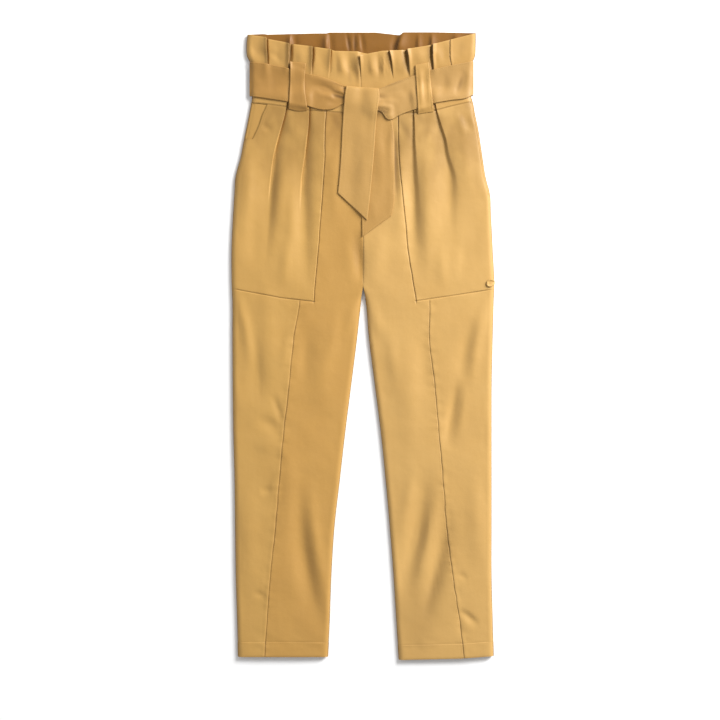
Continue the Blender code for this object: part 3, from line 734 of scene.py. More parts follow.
def shellObject(name, top, bottom, cells=None, materials=(), insideFace=None, crease=None):
    rows, columns = top.shape[:2]
    if cells is None:
        cells = np.ones((rows - 1, columns - 1), bool)
    index = np.arange(rows * columns).reshape(rows, columns)
    a, b, c, d = index[:-1, :-1], index[:-1, 1:], index[1:, 1:], index[1:, :-1]
    under = rows * columns
    faces = [np.stack([q[cells] for q in (a, d, c, b)], axis=1)]
    faces.append(np.stack([q[cells] + under for q in (a, b, c, d)], axis=1))
    wide = np.pad(cells, 1)
    inner = wide[1:-1, 1:-1]
    for p, q, near in ((a, b, wide[:-2, 1:-1]), (b, c, wide[1:-1, 2:]),
                       (c, d, wide[2:, 1:-1]), (d, a, wide[1:-1, :-2])):
        rim = inner & ~near
        faces.append(np.stack([p[rim], q[rim], q[rim] + under, p[rim] + under], axis=1))
    counts = [len(f) for f in faces]
    faces = np.concatenate(faces)
    corners = np.concatenate([top.reshape(-1, 3), bottom.reshape(-1, 3)])
    # a grid that runs leftwards is turned over
    if (top[0, -1, 0] - top[0, 0, 0]) < 0:
        faces = faces[:, ::-1]
    used, faces = np.unique(faces, return_inverse=True)
    faces = faces.reshape(-1, 4)
    corners = corners[used] * mm + np.array((0.0, hemLine * mm, 0.0))
    mesh = bpy.data.meshes.new(name)
    mesh.vertices.add(len(corners))
    mesh.vertices.foreach_set("co", corners.ravel())
    mesh.loops.add(faces.size)
    mesh.loops.foreach_set("vertex_index", faces.ravel().astype(np.int32))
    mesh.polygons.add(len(faces))
    mesh.polygons.foreach_set("loop_start", np.arange(0, faces.size, 4, dtype=np.int32))
    # painted shade, stored on the points for the material to darken the tone
    if crease is not None:
        shade = np.concatenate([crease.ravel(), crease.ravel()])[used]
        kept = mesh.attributes.new("crease", "FLOAT", "POINT")
        kept.data.foreach_set("value", shade.astype(np.float32))
    for material in materials:
        mesh.materials.append(material)
    if insideFace is not None:
        kinds = np.zeros(len(faces), np.int32)
        kinds[: counts[0]] = insideFace
        mesh.polygons.foreach_set("material_index", kinds)
    mesh.update(calc_edges=True)
    mesh.validate()
    mesh.shade_smooth()
    mesh.set_sharp_from_angle(angle=math.radians(58))
    piece = bpy.data.objects.new(name, mesh)
    bpy.context.scene.collection.objects.link(piece)
    return piece


def nodeOf(name):
    # a piece is named after the solid that it covers
    return "".join("_" + letter.lower() if letter.isupper() else letter for letter in name)


def declare(piece, x, cells):
    # fixes the piece to the root body, hides the solid that it covers and keeps it by name
    node = nodeOf(piece.name)
    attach(piece, "root")
    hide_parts(node)
    if cells is None:
        cells = np.ones((x.shape[0] - 1, x.shape[1] - 1), bool)
    touched = np.zeros(x.shape, bool)
    for part in (touched[:-1, :-1], touched[:-1, 1:], touched[1:, 1:], touched[1:, :-1]):
        part |= cells

    madePieces[piece.name] = piece


def leanOf(points, sideShare):
    # the wall leans with the cloth only near its side edges
    lean = normalsOf(points)
    lean[..., :2] *= sideShare[..., None]
    return lean / np.linalg.norm(lean, axis=2, keepdims=True)


def wallsUnder(x, up, z, thickness, sideShare):
    # outer face as given and the inner one under it
    top = np.stack([x, up, z], axis=2)
    return top, top - leanOf(top, sideShare) * thickness[..., None]


def wallsOver(x, up, z, thickness, sideShare):
    # the same for the back, whose outer face is the lower one
    low = np.stack([x, up, z], axis=2)
    return low + leanOf(low, -sideShare) * thickness[..., None], low


# Materials: a fine sateen twill.

twill = {
    "thread": 0.62,  # between two threads
    "lean": 63.0,  # the twill's slant in degrees
    "bump": 0.22,
    "weaveDepth": 0.09,
    "crossDepth": 0.06,
    "crumple": 0.5,
    "crumpleDepth": 0.55,
    "roughness": 0.5,
    "sheen": 0.2,
    "sheenRoughness": 0.45,
    "sheenTint": (1.0, 0.86, 0.66, 1.0),
    "specular": 0.28,
    # unevenness of the tone: size, detail, and how far it goes towards the deep colour
    "broad": (9, 3, 0.12),
    "slubs": (160, 2, 0.05),
    "threadTone": 0.16,
    "waistFrom": 690,  # the painted shade below the waist runs between these heights
    "waistTo": 912,
    "waistShade": 0.62,  # how dark the painted shade below the waist goes
    "paintedShadeDepth": 0.42,  # how dark the painted shade in seams and hollows goes
    "paintedShadeMost": 0.85,
}


def srgb(r, g, b):
    return tuple(((v / 255 + 0.055) / 1.055) ** 2.4 if v > 10 else v / 3295 for v in (r, g, b)) + (1.0,)


def darker(colour, share):
    return tuple(share * v for v in colour[:3]) + (1.0,)


def clothMaterial(name, colour, deep, waistPaintedShade=0.0):
    # colour is the cloth's face and deep the tone in its threads; darkened, deep also gives the painted
    # shade
    material = bpy.data.materials.new(name)
    material.use_nodes = True
    nodes, links = material.node_tree.nodes, material.node_tree.links
    shader = nodes["Principled BSDF"]
    place = nodes.new("ShaderNodeTexCoord")

    def noise(scale, detail, stretch=(1, 1, 1)):
        spread = nodes.new("ShaderNodeMapping")
        spread.inputs["Scale"].default_value = stretch
        found = nodes.new("ShaderNodeTexNoise")
        found.inputs["Scale"].default_value = scale
        found.inputs["Detail"].default_value = detail
        links.new(place.outputs["Object"], spread.inputs["Vector"])
        links.new(spread.outputs["Vector"], found.inputs["Vector"])
        return found.outputs["Fac"]

    def threads(angle, gap):
        turn = nodes.new("ShaderNodeMapping")
        turn.inputs["Rotation"].default_value = (0, 0, math.radians(angle))
        wave = nodes.new("ShaderNodeTexWave")
        wave.bands_direction = "X"
        wave.inputs["Scale"].default_value = math.tau / 20 / (gap * mm)
        wave.inputs["Distortion"].default_value = 0.6
        wave.inputs["Detail"].default_value = 1.0
        wave.inputs["Detail Scale"].default_value = 2.0
        links.new(place.outputs["Object"], turn.inputs["Vector"])
        links.new(turn.outputs["Vector"], wave.inputs["Vector"])
        return wave.outputs["Fac"]

    def mixed(factor, a, b):
        mix = nodes.new("ShaderNodeMix")
        mix.data_type = "RGBA"
        links.new(factor, mix.inputs[0])
        for socket, value in ((mix.inputs[6], a), (mix.inputs[7], b)):
            if isinstance(value, tuple):
                socket.default_value = value
            else:
                links.new(value, socket)
        return mix.outputs[2]

    def ranged(value, low, high, toLow, toHigh):
        node = nodes.new("ShaderNodeMapRange")
        node.interpolation_type = "SMOOTHSTEP"
        for slot, number in zip((1, 2, 3, 4), (low, high, toLow, toHigh)):
            node.inputs[slot].default_value = number
        links.new(value, node.inputs[0])
        return node.outputs[0]

    def lift(strength, distance, height, after=None):
        bump = nodes.new("ShaderNodeBump")
        bump.inputs["Strength"].default_value = strength
        bump.inputs["Distance"].default_value = distance * mm
        links.new(height, bump.inputs["Height"])
        if after is not None:
            links.new(after, bump.inputs["Normal"])
        return bump.outputs["Normal"]

    size, detail, most = twill["broad"]
    broad = ranged(noise(size, detail), 0.35, 0.65, 0.0, most)
    size, detail, most = twill["slubs"]
    slubs = ranged(noise(size, detail, (1, 0.12, 1)), 0.35, 0.7, 0.0, most)
    fine = ranged(threads(twill["lean"], twill["thread"]), 0.0, 1.0, 0.0, twill["threadTone"])
    tone = colour
    for unevenness in (broad, slubs, fine):
        tone = mixed(unevenness, tone, deep)
    if waistPaintedShade:
        # painted shade: deeper and a little mottled in the hips below the waist
        split = nodes.new("ShaderNodeSeparateXYZ")
        links.new(place.outputs["Object"], split.inputs[0])
        low, high = ((hemLine + twill[end]) * mm for end in ("waistFrom", "waistTo"))
        shadeRamp = ranged(split.outputs["Y"], low, high, 0.0, waistPaintedShade)
        patches = ranged(noise(30, 2, (1, 0.55, 1)), 0.32, 0.66, 0.25, 1.0)
        both = nodes.new("ShaderNodeMath")
        both.operation = "MULTIPLY"
        links.new(shadeRamp, both.inputs[0])
        links.new(patches, both.inputs[1])
        tone = mixed(both.outputs[0], tone, darker(deep, twill["waistShade"]))
    # painted shade: the value stored in the mesh takes the tone towards a darker deep colour
    shadeAttribute = nodes.new("ShaderNodeAttribute")
    shadeAttribute.attribute_name = "crease"
    shadeShare = ranged(shadeAttribute.outputs["Fac"], 0.0, 1.0, 0.0, twill["paintedShadeMost"])
    tone = mixed(shadeShare, tone, darker(deep, twill["paintedShadeDepth"]))
    links.new(tone, shader.inputs["Base Color"])
    bump, lean, gap = twill["bump"], twill["lean"], twill["thread"]
    weave = lift(bump, twill["weaveDepth"], threads(lean, gap))
    cross = lift(bump * 0.6, twill["crossDepth"], threads(lean - 90, gap * 0.8), weave)
    crumple = lift(twill["crumple"], twill["crumpleDepth"], noise(95, 3), cross)
    links.new(crumple, shader.inputs["Normal"])
    rough = ranged(noise(60, 2), 0.3, 0.7, twill["roughness"] - 0.04, twill["roughness"] + 0.06)
    links.new(rough, shader.inputs["Roughness"])
    shader.inputs["Sheen Weight"].default_value = twill["sheen"]
    shader.inputs["Sheen Roughness"].default_value = twill["sheenRoughness"]
    shader.inputs["Sheen Tint"].default_value = twill["sheenTint"]
    shader.inputs["Specular IOR Level"].default_value = twill["specular"]
    return material


# Face and deep colour of each finish. The trousers are one cloth: the different tones here are painted
# light and shade, the left pieces darker and the right pieces and the right belt lighter as the light
# falls on them, and the inside face much darker, partly the twill's reverse and partly painted shade.
finish = {
    "leftFront": ((184, 144, 78), (158, 116, 56)),
    "leftCentre": ((180, 138, 72), (156, 112, 52)),
    "rightFront": ((190, 151, 88), (167, 125, 64)),
    "backFace": ((176, 137, 76), (152, 111, 54)),
    "insideFace": ((129, 86, 28), (100, 61, 16)),
    "leftHeading": ((183, 142, 78), (156, 115, 55)),
    "rightHeading": ((178, 138, 76), (152, 112, 54)),
    "beltCloth": ((160, 119, 60), (134, 95, 41)),
    "beltBright": ((172, 134, 77), (147, 108, 55)),
    "tailCloth": ((176, 137, 77), (152, 112, 55)),
    "underTail": ((171, 131, 71), (147, 107, 50)),
    "facingCloth": ((176, 136, 72), (152, 110, 52)),
    "threadLeft": ((176, 136, 72), (150, 110, 52)),
    "threadRight": ((188, 149, 86), (160, 121, 62)),
}
# how strongly each finish takes the painted shade below the waist
waistPaintedShades = {"leftFront": 0.52, "leftCentre": 0.5, "rightFront": 0.62}
materials = {
    name: clothMaterial(name, srgb(*face), srgb(*deep), waistPaintedShades.get(name, 0.0))
    for name, (face, deep) in finish.items()
}
print("cloth finishes made")

# The panels of the trousers.

nearEdge = (0, 0.12, 0.45, 1.0, 1.8, 2.8, 4.0, 5.4, 7.0, 9.0)
nearSeam = (0, 0.4, 0.9, 1.5, 2.3, 3.4, 5.0)
nearHem = (0, 0.5, 1.2, 2.4, 5, 9, 13, 17, 20, 21.4, 22.1, 22.6, 23.2, 24.0, 25.0, 26.2, 28, 31)
nearHeading = (0, 0.4, 1.0, 1.8, 3.0, 4.6)
panelGap = 3.4  # distance between points elsewhere
lapOver = 12.0  # the left front runs this far under the right at the heading
lapFrom = 925


def columnPlan(half, lines, gap):
    # columns in stretches between two lines of the pattern, from the outside in
    plan, first = [], 0
    for index, (a, b) in enumerate(zip(lines[:-1], lines[1:])):
        close = nearEdge if index == 0 else nearSeam[1:]
        last = nearSeam if index < len(lines) - 2 else nearEdge
        span = abs(lineAt(half, a, 740.0) - lineAt(half, b, 740.0)) - close[-1] - last[-1]
        count = max(1, int(span / gap))
        plan.append({"from": a, "to": b, "close": np.array(close), "last": np.array(last[::-1]),
                     "count": count, "first": first})
        first += len(close) + count + len(last)
    return plan, first


def columnsAt(half, plan, up, lap):
    # how far out from the centre each column is, where it passes its own height
    places = np.empty(len(up))
    for part in plan:
        close, last, count = part["close"], part["last"], part["count"]
        mine = slice(part["first"], part["first"] + len(close) + count + len(last))
        start = half["side"] * lineAt(half, part["from"], up[mine])
        end = half["side"] * lineAt(half, part["to"], up[mine])
        if part["to"] == "inner":
            end = end - lap * easeIn((up[mine] - lapFrom) / 45)
        shrink = np.minimum(1.0, 0.42 * (start - end) / max(close[-1], last[0]))
        near = start[: len(close)] - close * shrink[: len(close)]
        far = end[-len(last):] + last * shrink[-len(last):]
        mid = slice(len(close), len(close) + count)
        a = start[mid] - close[-1] * shrink[mid]
        b = end[mid] + last[0] * shrink[mid]
        between = a + (b - a) * np.arange(1, count + 1) / (count + 1)
        places[mine] = np.concatenate([near, between, far])
    return places


def makeGrid(half, lines, upper, lower, shares, gap, lap=0.0):
    # x and up of a grid between two courses, its columns following the pattern's lines
    plan, total = columnPlan(half, lines, gap)
    x, up = [], []
    here = np.full(total, upper[half["word"]][1][1], float)
    for share in shares:
        for _ in range(4):
            across = half["side"] * columnsAt(half, plan, here, lap)
            high, low = crossAt(upper, half, across), crossAt(lower, half, across)
            here = high + (low - high) * share
        x.append(across)
        up.append(here)
    return np.array(x), np.array(up), plan


def rowShares(length, close, closeEnd, gap):
    return [place / length for place in steps(0.0, length, gap, close, closeEnd)]


def columnOf(plan, line):
    # the column that lies on this line
    return next(part["first"] - 1 for part in plan if part["from"] == line)


def sideShareOf(half, x, up, legs=True):
    out, into = frontEdges(half, x, up)
    if legs:
        out = np.minimum(out, blendTo(99.0, into, legsApart(up)))
    return 1 - easeIn((out - 5) / 6)


panelLines = ("outer", "mouth", "pleatOut", "pleatIn", "inset", "inner")
mouthLow = {"left": 859, "right": 766}  # where each pocket's slanted opening ends
hemAllowance = {"width": 20, "length": 40}
facingForm = {"wall": 0.7, "under": 1.35, "tuck": 0.5, "sink": 0.7}


def wholeGrid(half, lines, gap):
    # waist seam to hem in one grid, with the row where the pocket panel ends
    hips = makeGrid(half, lines, waistSeam, pocketSeam, rowShares(310, nearSeam, nearSeam, gap), gap)
    legs = makeGrid(half, lines, pocketSeam, hemEdge, rowShares(590, nearSeam, nearHem, gap), gap)
    x, up = (np.concatenate([a, b[1:]]) for a, b in zip(hips[:2], legs[:2]))
    return x, up, hips[2], len(hips[0]) - 1


def frontPieces(half, front, centre, heading):
    word, title = half["word"], half["title"]
    x, up, plan, pocketRow = wholeGrid(half, panelLines, panelGap)
    z = np.maximum(frontHeight(half, x, up), frontForm["side"] * 0.9)
    thickness = blendTo(cloth["hem"], cloth["wall"], easeIn((up - crossAt(hemEdge, half, x) - 22) / 3))
    top, bottom = wallsUnder(x, up, z, thickness, sideShareOf(half, x, up))
    # painted shade along the seams and in the shaded places
    crease = frontPaintedShade(half, x, up)
    rows, columns = x.shape[0] - 1, x.shape[1] - 1
    rowIndex, columnIndex = np.mgrid[0:rows, 0:columns]
    inset, slant = columnOf(plan, "inset"), columnOf(plan, "pleatIn")
    mouth = columnOf(plan, "mouth")
    opening = (columnIndex < mouth) & (up[:-1, :-1] > mouthLow[word])
    hip = rowIndex < pocketRow
    pocket = hip & (columnIndex < inset) & ~opening
    middle = (hip & (columnIndex >= inset)) | (~hip & (columnIndex >= slant))
    side = ~hip & (columnIndex < slant)
    for part, cells, finishOf, cut, held in (
        ("pocketPanel", pocket, front, {"width": 95, "length": 25}, "gathered"),
        ("frontCentre", middle, centre, hemAllowance, "laid"),
        ("frontSide", side, front, hemAllowance, "laid"),
    ):
        piece = shellObject(part + title, top, bottom, cells, [materials[finishOf]], crease=crease)
        declare(piece, x, cells)

    # the pocket's inner side, which shows in the slanted opening
    lastRow = int(np.argmax(up[:, 0] < mouthLow[word] - 5))
    fx = x[: lastRow + 1, : mouth + 11].copy()
    fup = up[: lastRow + 1, : mouth + 11]
    fz = frontHeight(half, fx, fup)
    fout = half["side"] * (lineAt(half, "outer", fup) - fx)
    low = easeIn((fup - mouthLow[word] + 5) / 5)
    fz = np.maximum(fz - facingForm["under"] * easeIn((fout - 0.3) / 4), frontForm["side"] * 0.95)
    tucked = half["side"] * (lineAt(half, "mouth", fup) - fx)
    fz = fz - facingForm["tuck"] * easeIn(tucked / 3) - facingForm["sink"] * (1 - low)
    wall = np.full(fx.shape, facingForm["wall"])
    ftop, fbottom = wallsUnder(fx, fup, fz, wall, sideShareOf(half, fx, fup, False))
    facing = shellObject(f"pocketFacing{title}", ftop, fbottom, None,
                         [materials["facingCloth" if word == "left" else "rightFront"]])
    declare(facing, fx, None)

    # waistband and the open paperbag heading, in one with it
    shares = rowShares(112, nearHeading, nearSeam, 2.6)
    lap = lapOver if word == "left" else 0.0
    bx, bup, _ = makeGrid(half, panelLines, frontEdge, waistSeam, shares, 2.8, lap)
    bz = bandHeight(half, bx, bup)
    inside = half["side"] * (bx - lineAt(half, "inner", bup))
    if word == "left":
        bz = bz - 1.5 * easeIn((3 - inside) / 5) * easeIn((bup - lapFrom) / 30)
    fromEdge = crossAt(frontEdge, half, bx) - bup
    thickness = blendTo(cloth["heading"], cloth["wall"], easeIn(fromEdge / 4))
    btop, bbottom = wallsUnder(bx, bup, bz, thickness, sideShareOf(half, bx, bup, False))
    # the band carries painted shade in the heading's gaps and along the waist seam
    band = shellObject(f"frontWaistband{title}", btop, bbottom, None, [materials[heading]],
                       crease=bandPaintedShade(half, bx, bup))
    declare(band, bx, None)


# the left half's finishes are darker as painted shade, the right's lighter as painted light
frontPieces(leftHalf, "leftFront", "leftCentre", "leftHeading")
frontPieces(rightHalf, "rightFront", "rightFront", "rightHeading")
print("front panels made")

backLines = ("outer", "pleatOut", "inset", "inner")
backGap = 4.6


def backPieces(half):
    title = half["title"]
    x, up, _, _ = wholeGrid(half, backLines, backGap)
    z = backHeight(half, x, up)
    z = z + backForm["seam"] * bell(x, 1.0) * easeIn((up - 640) / 6)
    fromHem = up - crossAt(hemEdge, half, x)
    z = z + backForm["seam"] * bell(fromHem - backForm["hemStitch"], 0.8)
    z = z + backForm["waistRise"] * bell(crossAt(waistSeam, half, x) - up, 1.0)
    thickness = blendTo(1.2, cloth["wall"], easeIn((fromHem - 22) / 3))
    high, low = wallsOver(x, up, z, thickness, sideShareOf(half, x, up))
    piece = shellObject(f"back{title}", high, low, None, [materials["backFace"]])
    declare(piece, x, None)
    shares = rowShares(118, nearHeading, nearSeam, 3.0)
    bx, bup, _ = makeGrid(half, backLines, backEdge, waistSeam, shares, 3.2)
    wall = np.full(bx.shape, cloth["wall"])
    share = sideShareOf(half, bx, bup, False)
    high, low = wallsOver(bx, bup, backBandHeight(half, bx, bup), wall, share)
    # its inner face has the darker inside finish, partly painted shade, and painted shade in its folds
    band = shellObject(f"backWaistband{title}", high, low, None,
                       [materials["backFace"], materials["insideFace"]], insideFace=1,
                       crease=withPaintedShade(0.0, shadedInside, bx, bup))
    declare(band, bx, None)


backPieces(leftHalf)
backPieces(rightHalf)
print("back panels made")

# The belt.

# Grooves of the topstitching, the strips' unevenness and how far in a loop's stitching runs.
stripForm = {"groove": 0.22, "grooveWidth": 0.55, "uneven": 0.25, "loopStitch": 2.4}


def softEdges(x, up, mid, thickness, distance, roundness=0.9):
    # both faces of a strip whose edges are turned in and so rounded
    half = 0.5 * thickness * blendTo(0.22, 1.0, roundEdge(distance, roundness))
    return np.stack([x, up, mid + half], axis=2), np.stack([x, up, mid - half], axis=2)


def stripPiece(name, finishOf, x, up, mid, thickness, distance,
               roundness=0.9, deep=None):
    # one piece of the belt about its middle surface; gives its points and upper face
    top, bottom = softEdges(x, up, mid, thickness, distance, roundness)
    bottom[..., 2] = np.maximum(bottom[..., 2], 0.05)
    # deep gives places of painted shade, if any
    crease = None if deep is None else beltPaintedShade(deep, x, up, distance)
    piece = shellObject(name, top, bottom, None, [materials[finishOf]], crease=crease)
    declare(piece, x, None)
    return x, up, top[..., 2]


def stripGrid(topLine, lowLine, xs, shares):
    # a grid between an upper and a lower line, with points of x and up
    x = np.tile(np.asarray(xs, float), (len(shares), 1))
    high, low = throughPoints(topLine, x[0]), throughPoints(lowLine, x[0])
    up = high + (low - high) * np.asarray(shares)[:, None]
    return x, up


def edgeGap(x, up):
    # distance from each point to the nearer of the first and last rows
    down = np.minimum(up[0] - up, up - up[-1])
    slope = np.gradient(up[0]) / (np.gradient(x[0]) + 1e-9)
    return np.abs(down) / np.sqrt(1 + slope**2)


beltPlan = {
    "gap": 2.4,
    "leftTop": ((-187, 985), (-157.5, 981), (-119.6, 973), (-93, 965.6), (-65.5, 959.5), (-54, 955.5),
                (-32, 946), (-16, 941)),
    "leftLow": ((-187, 928.5), (-157, 924), (-126, 919), (-108, 915.5), (-93, 912), (-64, 905.5),
                (-48.5, 907), (-30, 917), (-16, 921)),
    "rightTop": ((12, 936), (26, 940), (45, 948), (86, 963), (112, 971), (145, 979), (182, 986)),
    "rightLow": ((12, 912), (25, 904), (32, 900), (39, 890.5), (47, 889.5), (56.6, 895), (77.5, 903.5),
                 (92, 908), (119, 916.5), (143.5, 921), (178, 929), (182, 932)),
    "stitch": 2.6,  # topstitching from each edge
    "lift": 0.9,  # how far the belt stands off what it lies on
    "knotLift": 1.6,
    "side": 4.6,  # height where it turns round the side
}

# Folds and hollows of the belt where the knot draws it in.
beltFolds = (
    (-96, 962, -30, 938, 1.3, 7, 9, 2),
    (-84, 946, -34, 930, -1.5, 5, 5, 1),
    (-78, 934, -40, 924, 1.4, 5, 5, 0),
    (-60, 915, -30, 921, -1.2, 4, 5, 0),
    (-44, 940, -28, 936, 1.1, 3, 3, 0),
    (-52, 932, -22, 921, -4.6, 4.5, 4.5, 0),
    (-36, 944, -22, 940, -1.6, 3, 3, 0),
    (-52, 938, -26, 932, 1.6, 3, 3, 0),
    (-72, 956, -58, 912, -0.8, 7, 8, 2),
    (-140, 976, -148, 926, -0.7, 7, 9, -2),
    (-160, 980, -166, 928, 0.5, 9, 9, 0),
    (-174, 970, -158, 935, -0.5, 6, 8, 0),
    (20, 934, 84, 956, 1.3, 8, 6, 2),
    (24, 924, 72, 940, -1.6, 5, 6, -1),
    (24, 916, 60, 918, 1.5, 5, 5, 2),
    (16, 905, 44, 901, -4.6, 4.5, 4.5, 0),
    (14, 928, 42, 926, -1.6, 4, 4, 0),
    (20, 910, 50, 911, 1.2, 3, 4, 0),
    (60, 950, 78, 912, -0.8, 7, 8, 2),
    (36, 902, 48, 892, 1.0, 4, 4, 0),
    (168, 972, 153, 926, -2.3, 5, 9, 0),
    (174, 970, 166, 934, 0.8, 6, 5, 0),
    (134, 974, 128, 920, -0.8, 7, 7, 2),
    (148, 965, 141, 930, 0.6, 6, 6, 0),
)


def groove(distance, place):
    return -stripForm["groove"] * bell(distance - place, stripForm["grooveWidth"])


def beltPaintedShade(places, x, up, distance):
    # painted shade: deeper tone in the hollows by the knot and along the topstitching
    return np.clip(foldField(places, x, up) + 0.2 * bell(distance - beltPlan["stitch"], 0.6), 0, 1)


cover = coverFronts()
tabCover = cover.copy()


def hangingEnd(name, finishOf, edges, folds, blurred, low, curl=0.0, deep=()):
    # a hanging end of the belt, its rows running between a left and a right edge
    left, right = (np.array(edges[side], float) for side in ("left", "right"))
    lengthOf = [np.concatenate([[0], np.cumsum(np.hypot(*np.diff(e, axis=0).T))]) for e in (left, right)]
    count = int(lengthOf[0][-1] / 3.0)
    close = (0, 0.002, 0.006, 0.012)
    shares = np.array(steps(0, 1, 1 / count, close, close))
    sides = []
    for table, run in zip((left, right), lengthOf):
        at = shares * run[-1]
        sides.append(np.stack([smoothLine(run, table[:, k], at) for k in (0, 1)], axis=1))
    close = (0, 0.008, 0.025, 0.05, 0.08)
    across = np.array(steps(0, 1, 0.055, close, close))
    x = sides[0][:, :1] + (sides[1][:, :1] - sides[0][:, :1]) * across
    up = sides[0][:, 1:] + (sides[1][:, 1:] - sides[0][:, 1:]) * across
    width = np.hypot(sides[1][:, 0] - sides[0][:, 0], sides[1][:, 1] - sides[0][:, 1])[:, None]
    fromSide = np.minimum(across, 1 - across) * width
    rowsApart = np.hypot(np.gradient(x, axis=0), np.gradient(up, axis=0))
    fromLow = np.flip(np.cumsum(np.flip(rowsApart, 0), 0), 0) - rowsApart[-1:] * 0.5
    fromTop = np.cumsum(rowsApart, 0)
    nearest = np.minimum(fromSide, np.maximum(fromLow, 0))
    mid = feel(blurred, x, up) + low + 0.5 * cloth["belt"]
    relief = foldField(folds, x, up) * easeIn((nearest + 1) / 5)
    relief += stripForm["uneven"] * softNoise(x, up, 24, 21) * easeIn(nearest / 6)
    relief += groove(fromSide, beltPlan["stitch"]) + groove(fromLow, beltPlan["stitch"])
    mid = mid + np.maximum(relief, -low)
    mid = mid - curl * (1 - roundEdge(fromTop, 7.0))
    return stripPiece(name, finishOf, x, up, mid, cloth["belt"], nearest,
                      deep=deep)


underEdges = {
    "left": ((4, 914), (0, 880), (-2, 833), (-2.5, 780), (-2.3, 740), (-1.6, 696.5)),
    "right": ((44, 910), (48, 884), (51, 862), (51.6, 833), (51.2, 780), (50.2, 747), (46.5, 731.5)),
}
underFolds = (
    (40, 905, 34, 830, -1.0, 6, 7, 0),
    (46, 890, 45, 800, 0.8, 6, 5, 0),
    (26, 880, 30, 760, 1.0, 8, 9, 0),
    (36, 800, 38, 730, -0.5, 7, 7, 0),
    (16, 770, 20, 712, 0.7, 7, 8, 0),
)
blurred = spread(cover, 2, 3)
# the under end carries painted shade below the belt
addCover(cover, *hangingEnd("beltEndUnder", "underTail", underEdges, underFolds, blurred, 0.35,
                            deep=shadedTail))


def stretchOf(name, finishOf, word, xs, side, blurred):
    close = (0, 0.006, 0.02, 0.045, 0.07)
    shares = steps(0, 1, 0.042, close, close)
    x, up = stripGrid(beltPlan[word + "Top"], beltPlan[word + "Low"], xs, shares)
    distance = edgeGap(x, up)
    relief = foldField(beltFolds, x, up) * easeIn((distance + 2.2) / 5)
    relief += stripForm["uneven"] * softNoise(x, up, 20, 31) * easeIn(distance / 6)
    relief += groove(distance, beltPlan["stitch"])
    draw = easeIn((38 - np.abs(x)) / 26)  # the knot lifts the belt
    mid = feel(blurred, x, up) + beltPlan["lift"] + 0.5 * cloth["belt"] + beltPlan["knotLift"] * draw
    mid = mid + np.maximum(relief, -beltPlan["lift"] - 2.0 * draw)
    if side:
        end = np.abs(x - (x[:, :1] if side < 0 else x[:, -1:]))
        mid = beltPlan["side"] + (mid - beltPlan["side"]) * roundEdge(end, 8.0)
    return stripPiece(name, finishOf, x, up, mid, cloth["belt"], distance,
                      deep=shadedBelt)


blurred = spread(cover, 2, 4)
stretches = []
# the right stretches' lighter finish is painted light
for name, finishOf, slotName, word, start, end, side in (
    ("beltLeftOuter", "beltCloth", "belt", "left", -187, -107.1, -1),
    ("beltLeftInner", "beltCloth", "belt", "left", -106.9, -16, 0),
    ("beltRightInner", "beltBright", "belt_lit", "right", 12, 98.9, 0),
    ("beltRightOuter", "beltBright", "belt_lit", "right", 99.1, 182, 1),
):
    close = nearEdge if side < 0 else (0, 1.2)
    last = nearEdge if side > 0 else (0, 1.2)
    xs = steps(start, end, beltPlan["gap"], close, last)
    stretches.append(stretchOf(name, finishOf, word, xs, side, blurred))
for made in stretches:
    addCover(cover, *made)


loops = {
    "Left": {
        "top": ((-119.5, 985.5), (-94.0, 982)), "low": ((-122.5, 907.5), (-108, 903.5), (-91, 904.5)),
        "leftSide": ((985, -119.5), (945, -120.5), (906, -122.5)),
        "rightSide": ((985, -94.0), (945, -96.0), (906, -91.5)),
        "finish": "beltCloth",
        "folds": ((-100, 980, -99, 910, 0.6, 4, 4, 0), (-112, 975, -114, 915, -0.4, 5, 5, 0)),
    },
    "Right": {
        "top": ((85, 979), (107, 984.5)), "low": ((90.5, 898), (103, 900.5), (116, 902.5)),
        "leftSide": ((984, 85.5), (945, 88.0), (900, 90.5)),
        "rightSide": ((984, 108.0), (945, 112.0), (900, 116.0)),
        "finish": "rightHeading",
        "folds": ((93, 980, 96, 905, 1.1, 3.5, 3.5, 1), (101, 980, 104, 905, -0.8, 3.5, 3.5, 0),
                  (107, 975, 110, 905, 0.7, 3, 3, 0)),
    },
}


def loopPiece(title, plan, blurred):
    # a belt loop: its ends are sewn down above and below the belt
    ends = (0, 0.006, 0.014, 0.028, 0.05)
    down = np.array(steps(0, 1, 0.032, ends, ends))
    ends = (0, 0.015, 0.05, 0.1)
    over = np.array(steps(0, 1, 0.075, ends, ends))
    high = np.linspace(plan["top"][0][1], plan["top"][-1][1], len(over))
    lowX = np.linspace(plan["low"][0][0], plan["low"][-1][0], len(over))
    low = throughPoints(plan["low"], lowX)
    up = high + (low - high) * down[:, None]
    a = throughPoints(plan["leftSide"][::-1], up[:, :1])
    b = throughPoints(plan["rightSide"][::-1], up[:, -1:])
    x = a + (b - a) * over
    fromSide = np.minimum(over, 1 - over) * (b - a)
    fromEnd = np.minimum(high - up, up - low)
    relief = foldField(plan["folds"], x, up) * easeIn(fromSide / 3 + 0.2)
    relief += groove(fromSide, stripForm["loopStitch"]) * 0.2 / stripForm["groove"]
    mid = feel(blurred, x, up) + 0.35 + 0.5 * cloth["loop"] + np.maximum(relief, -0.3)
    mid = mid + 0.9 * bell(fromEnd - 7, 4) - 0.5 * bell(fromEnd, 2.0)
    stripPiece(f"beltLoopFront{title}", plan["finish"], x, up, mid, cloth["loop"],
               np.minimum(fromSide, fromEnd))


blurred = spread(cover, 2, 3)
for title, plan in loops.items():
    loopPiece(title, plan, blurred)

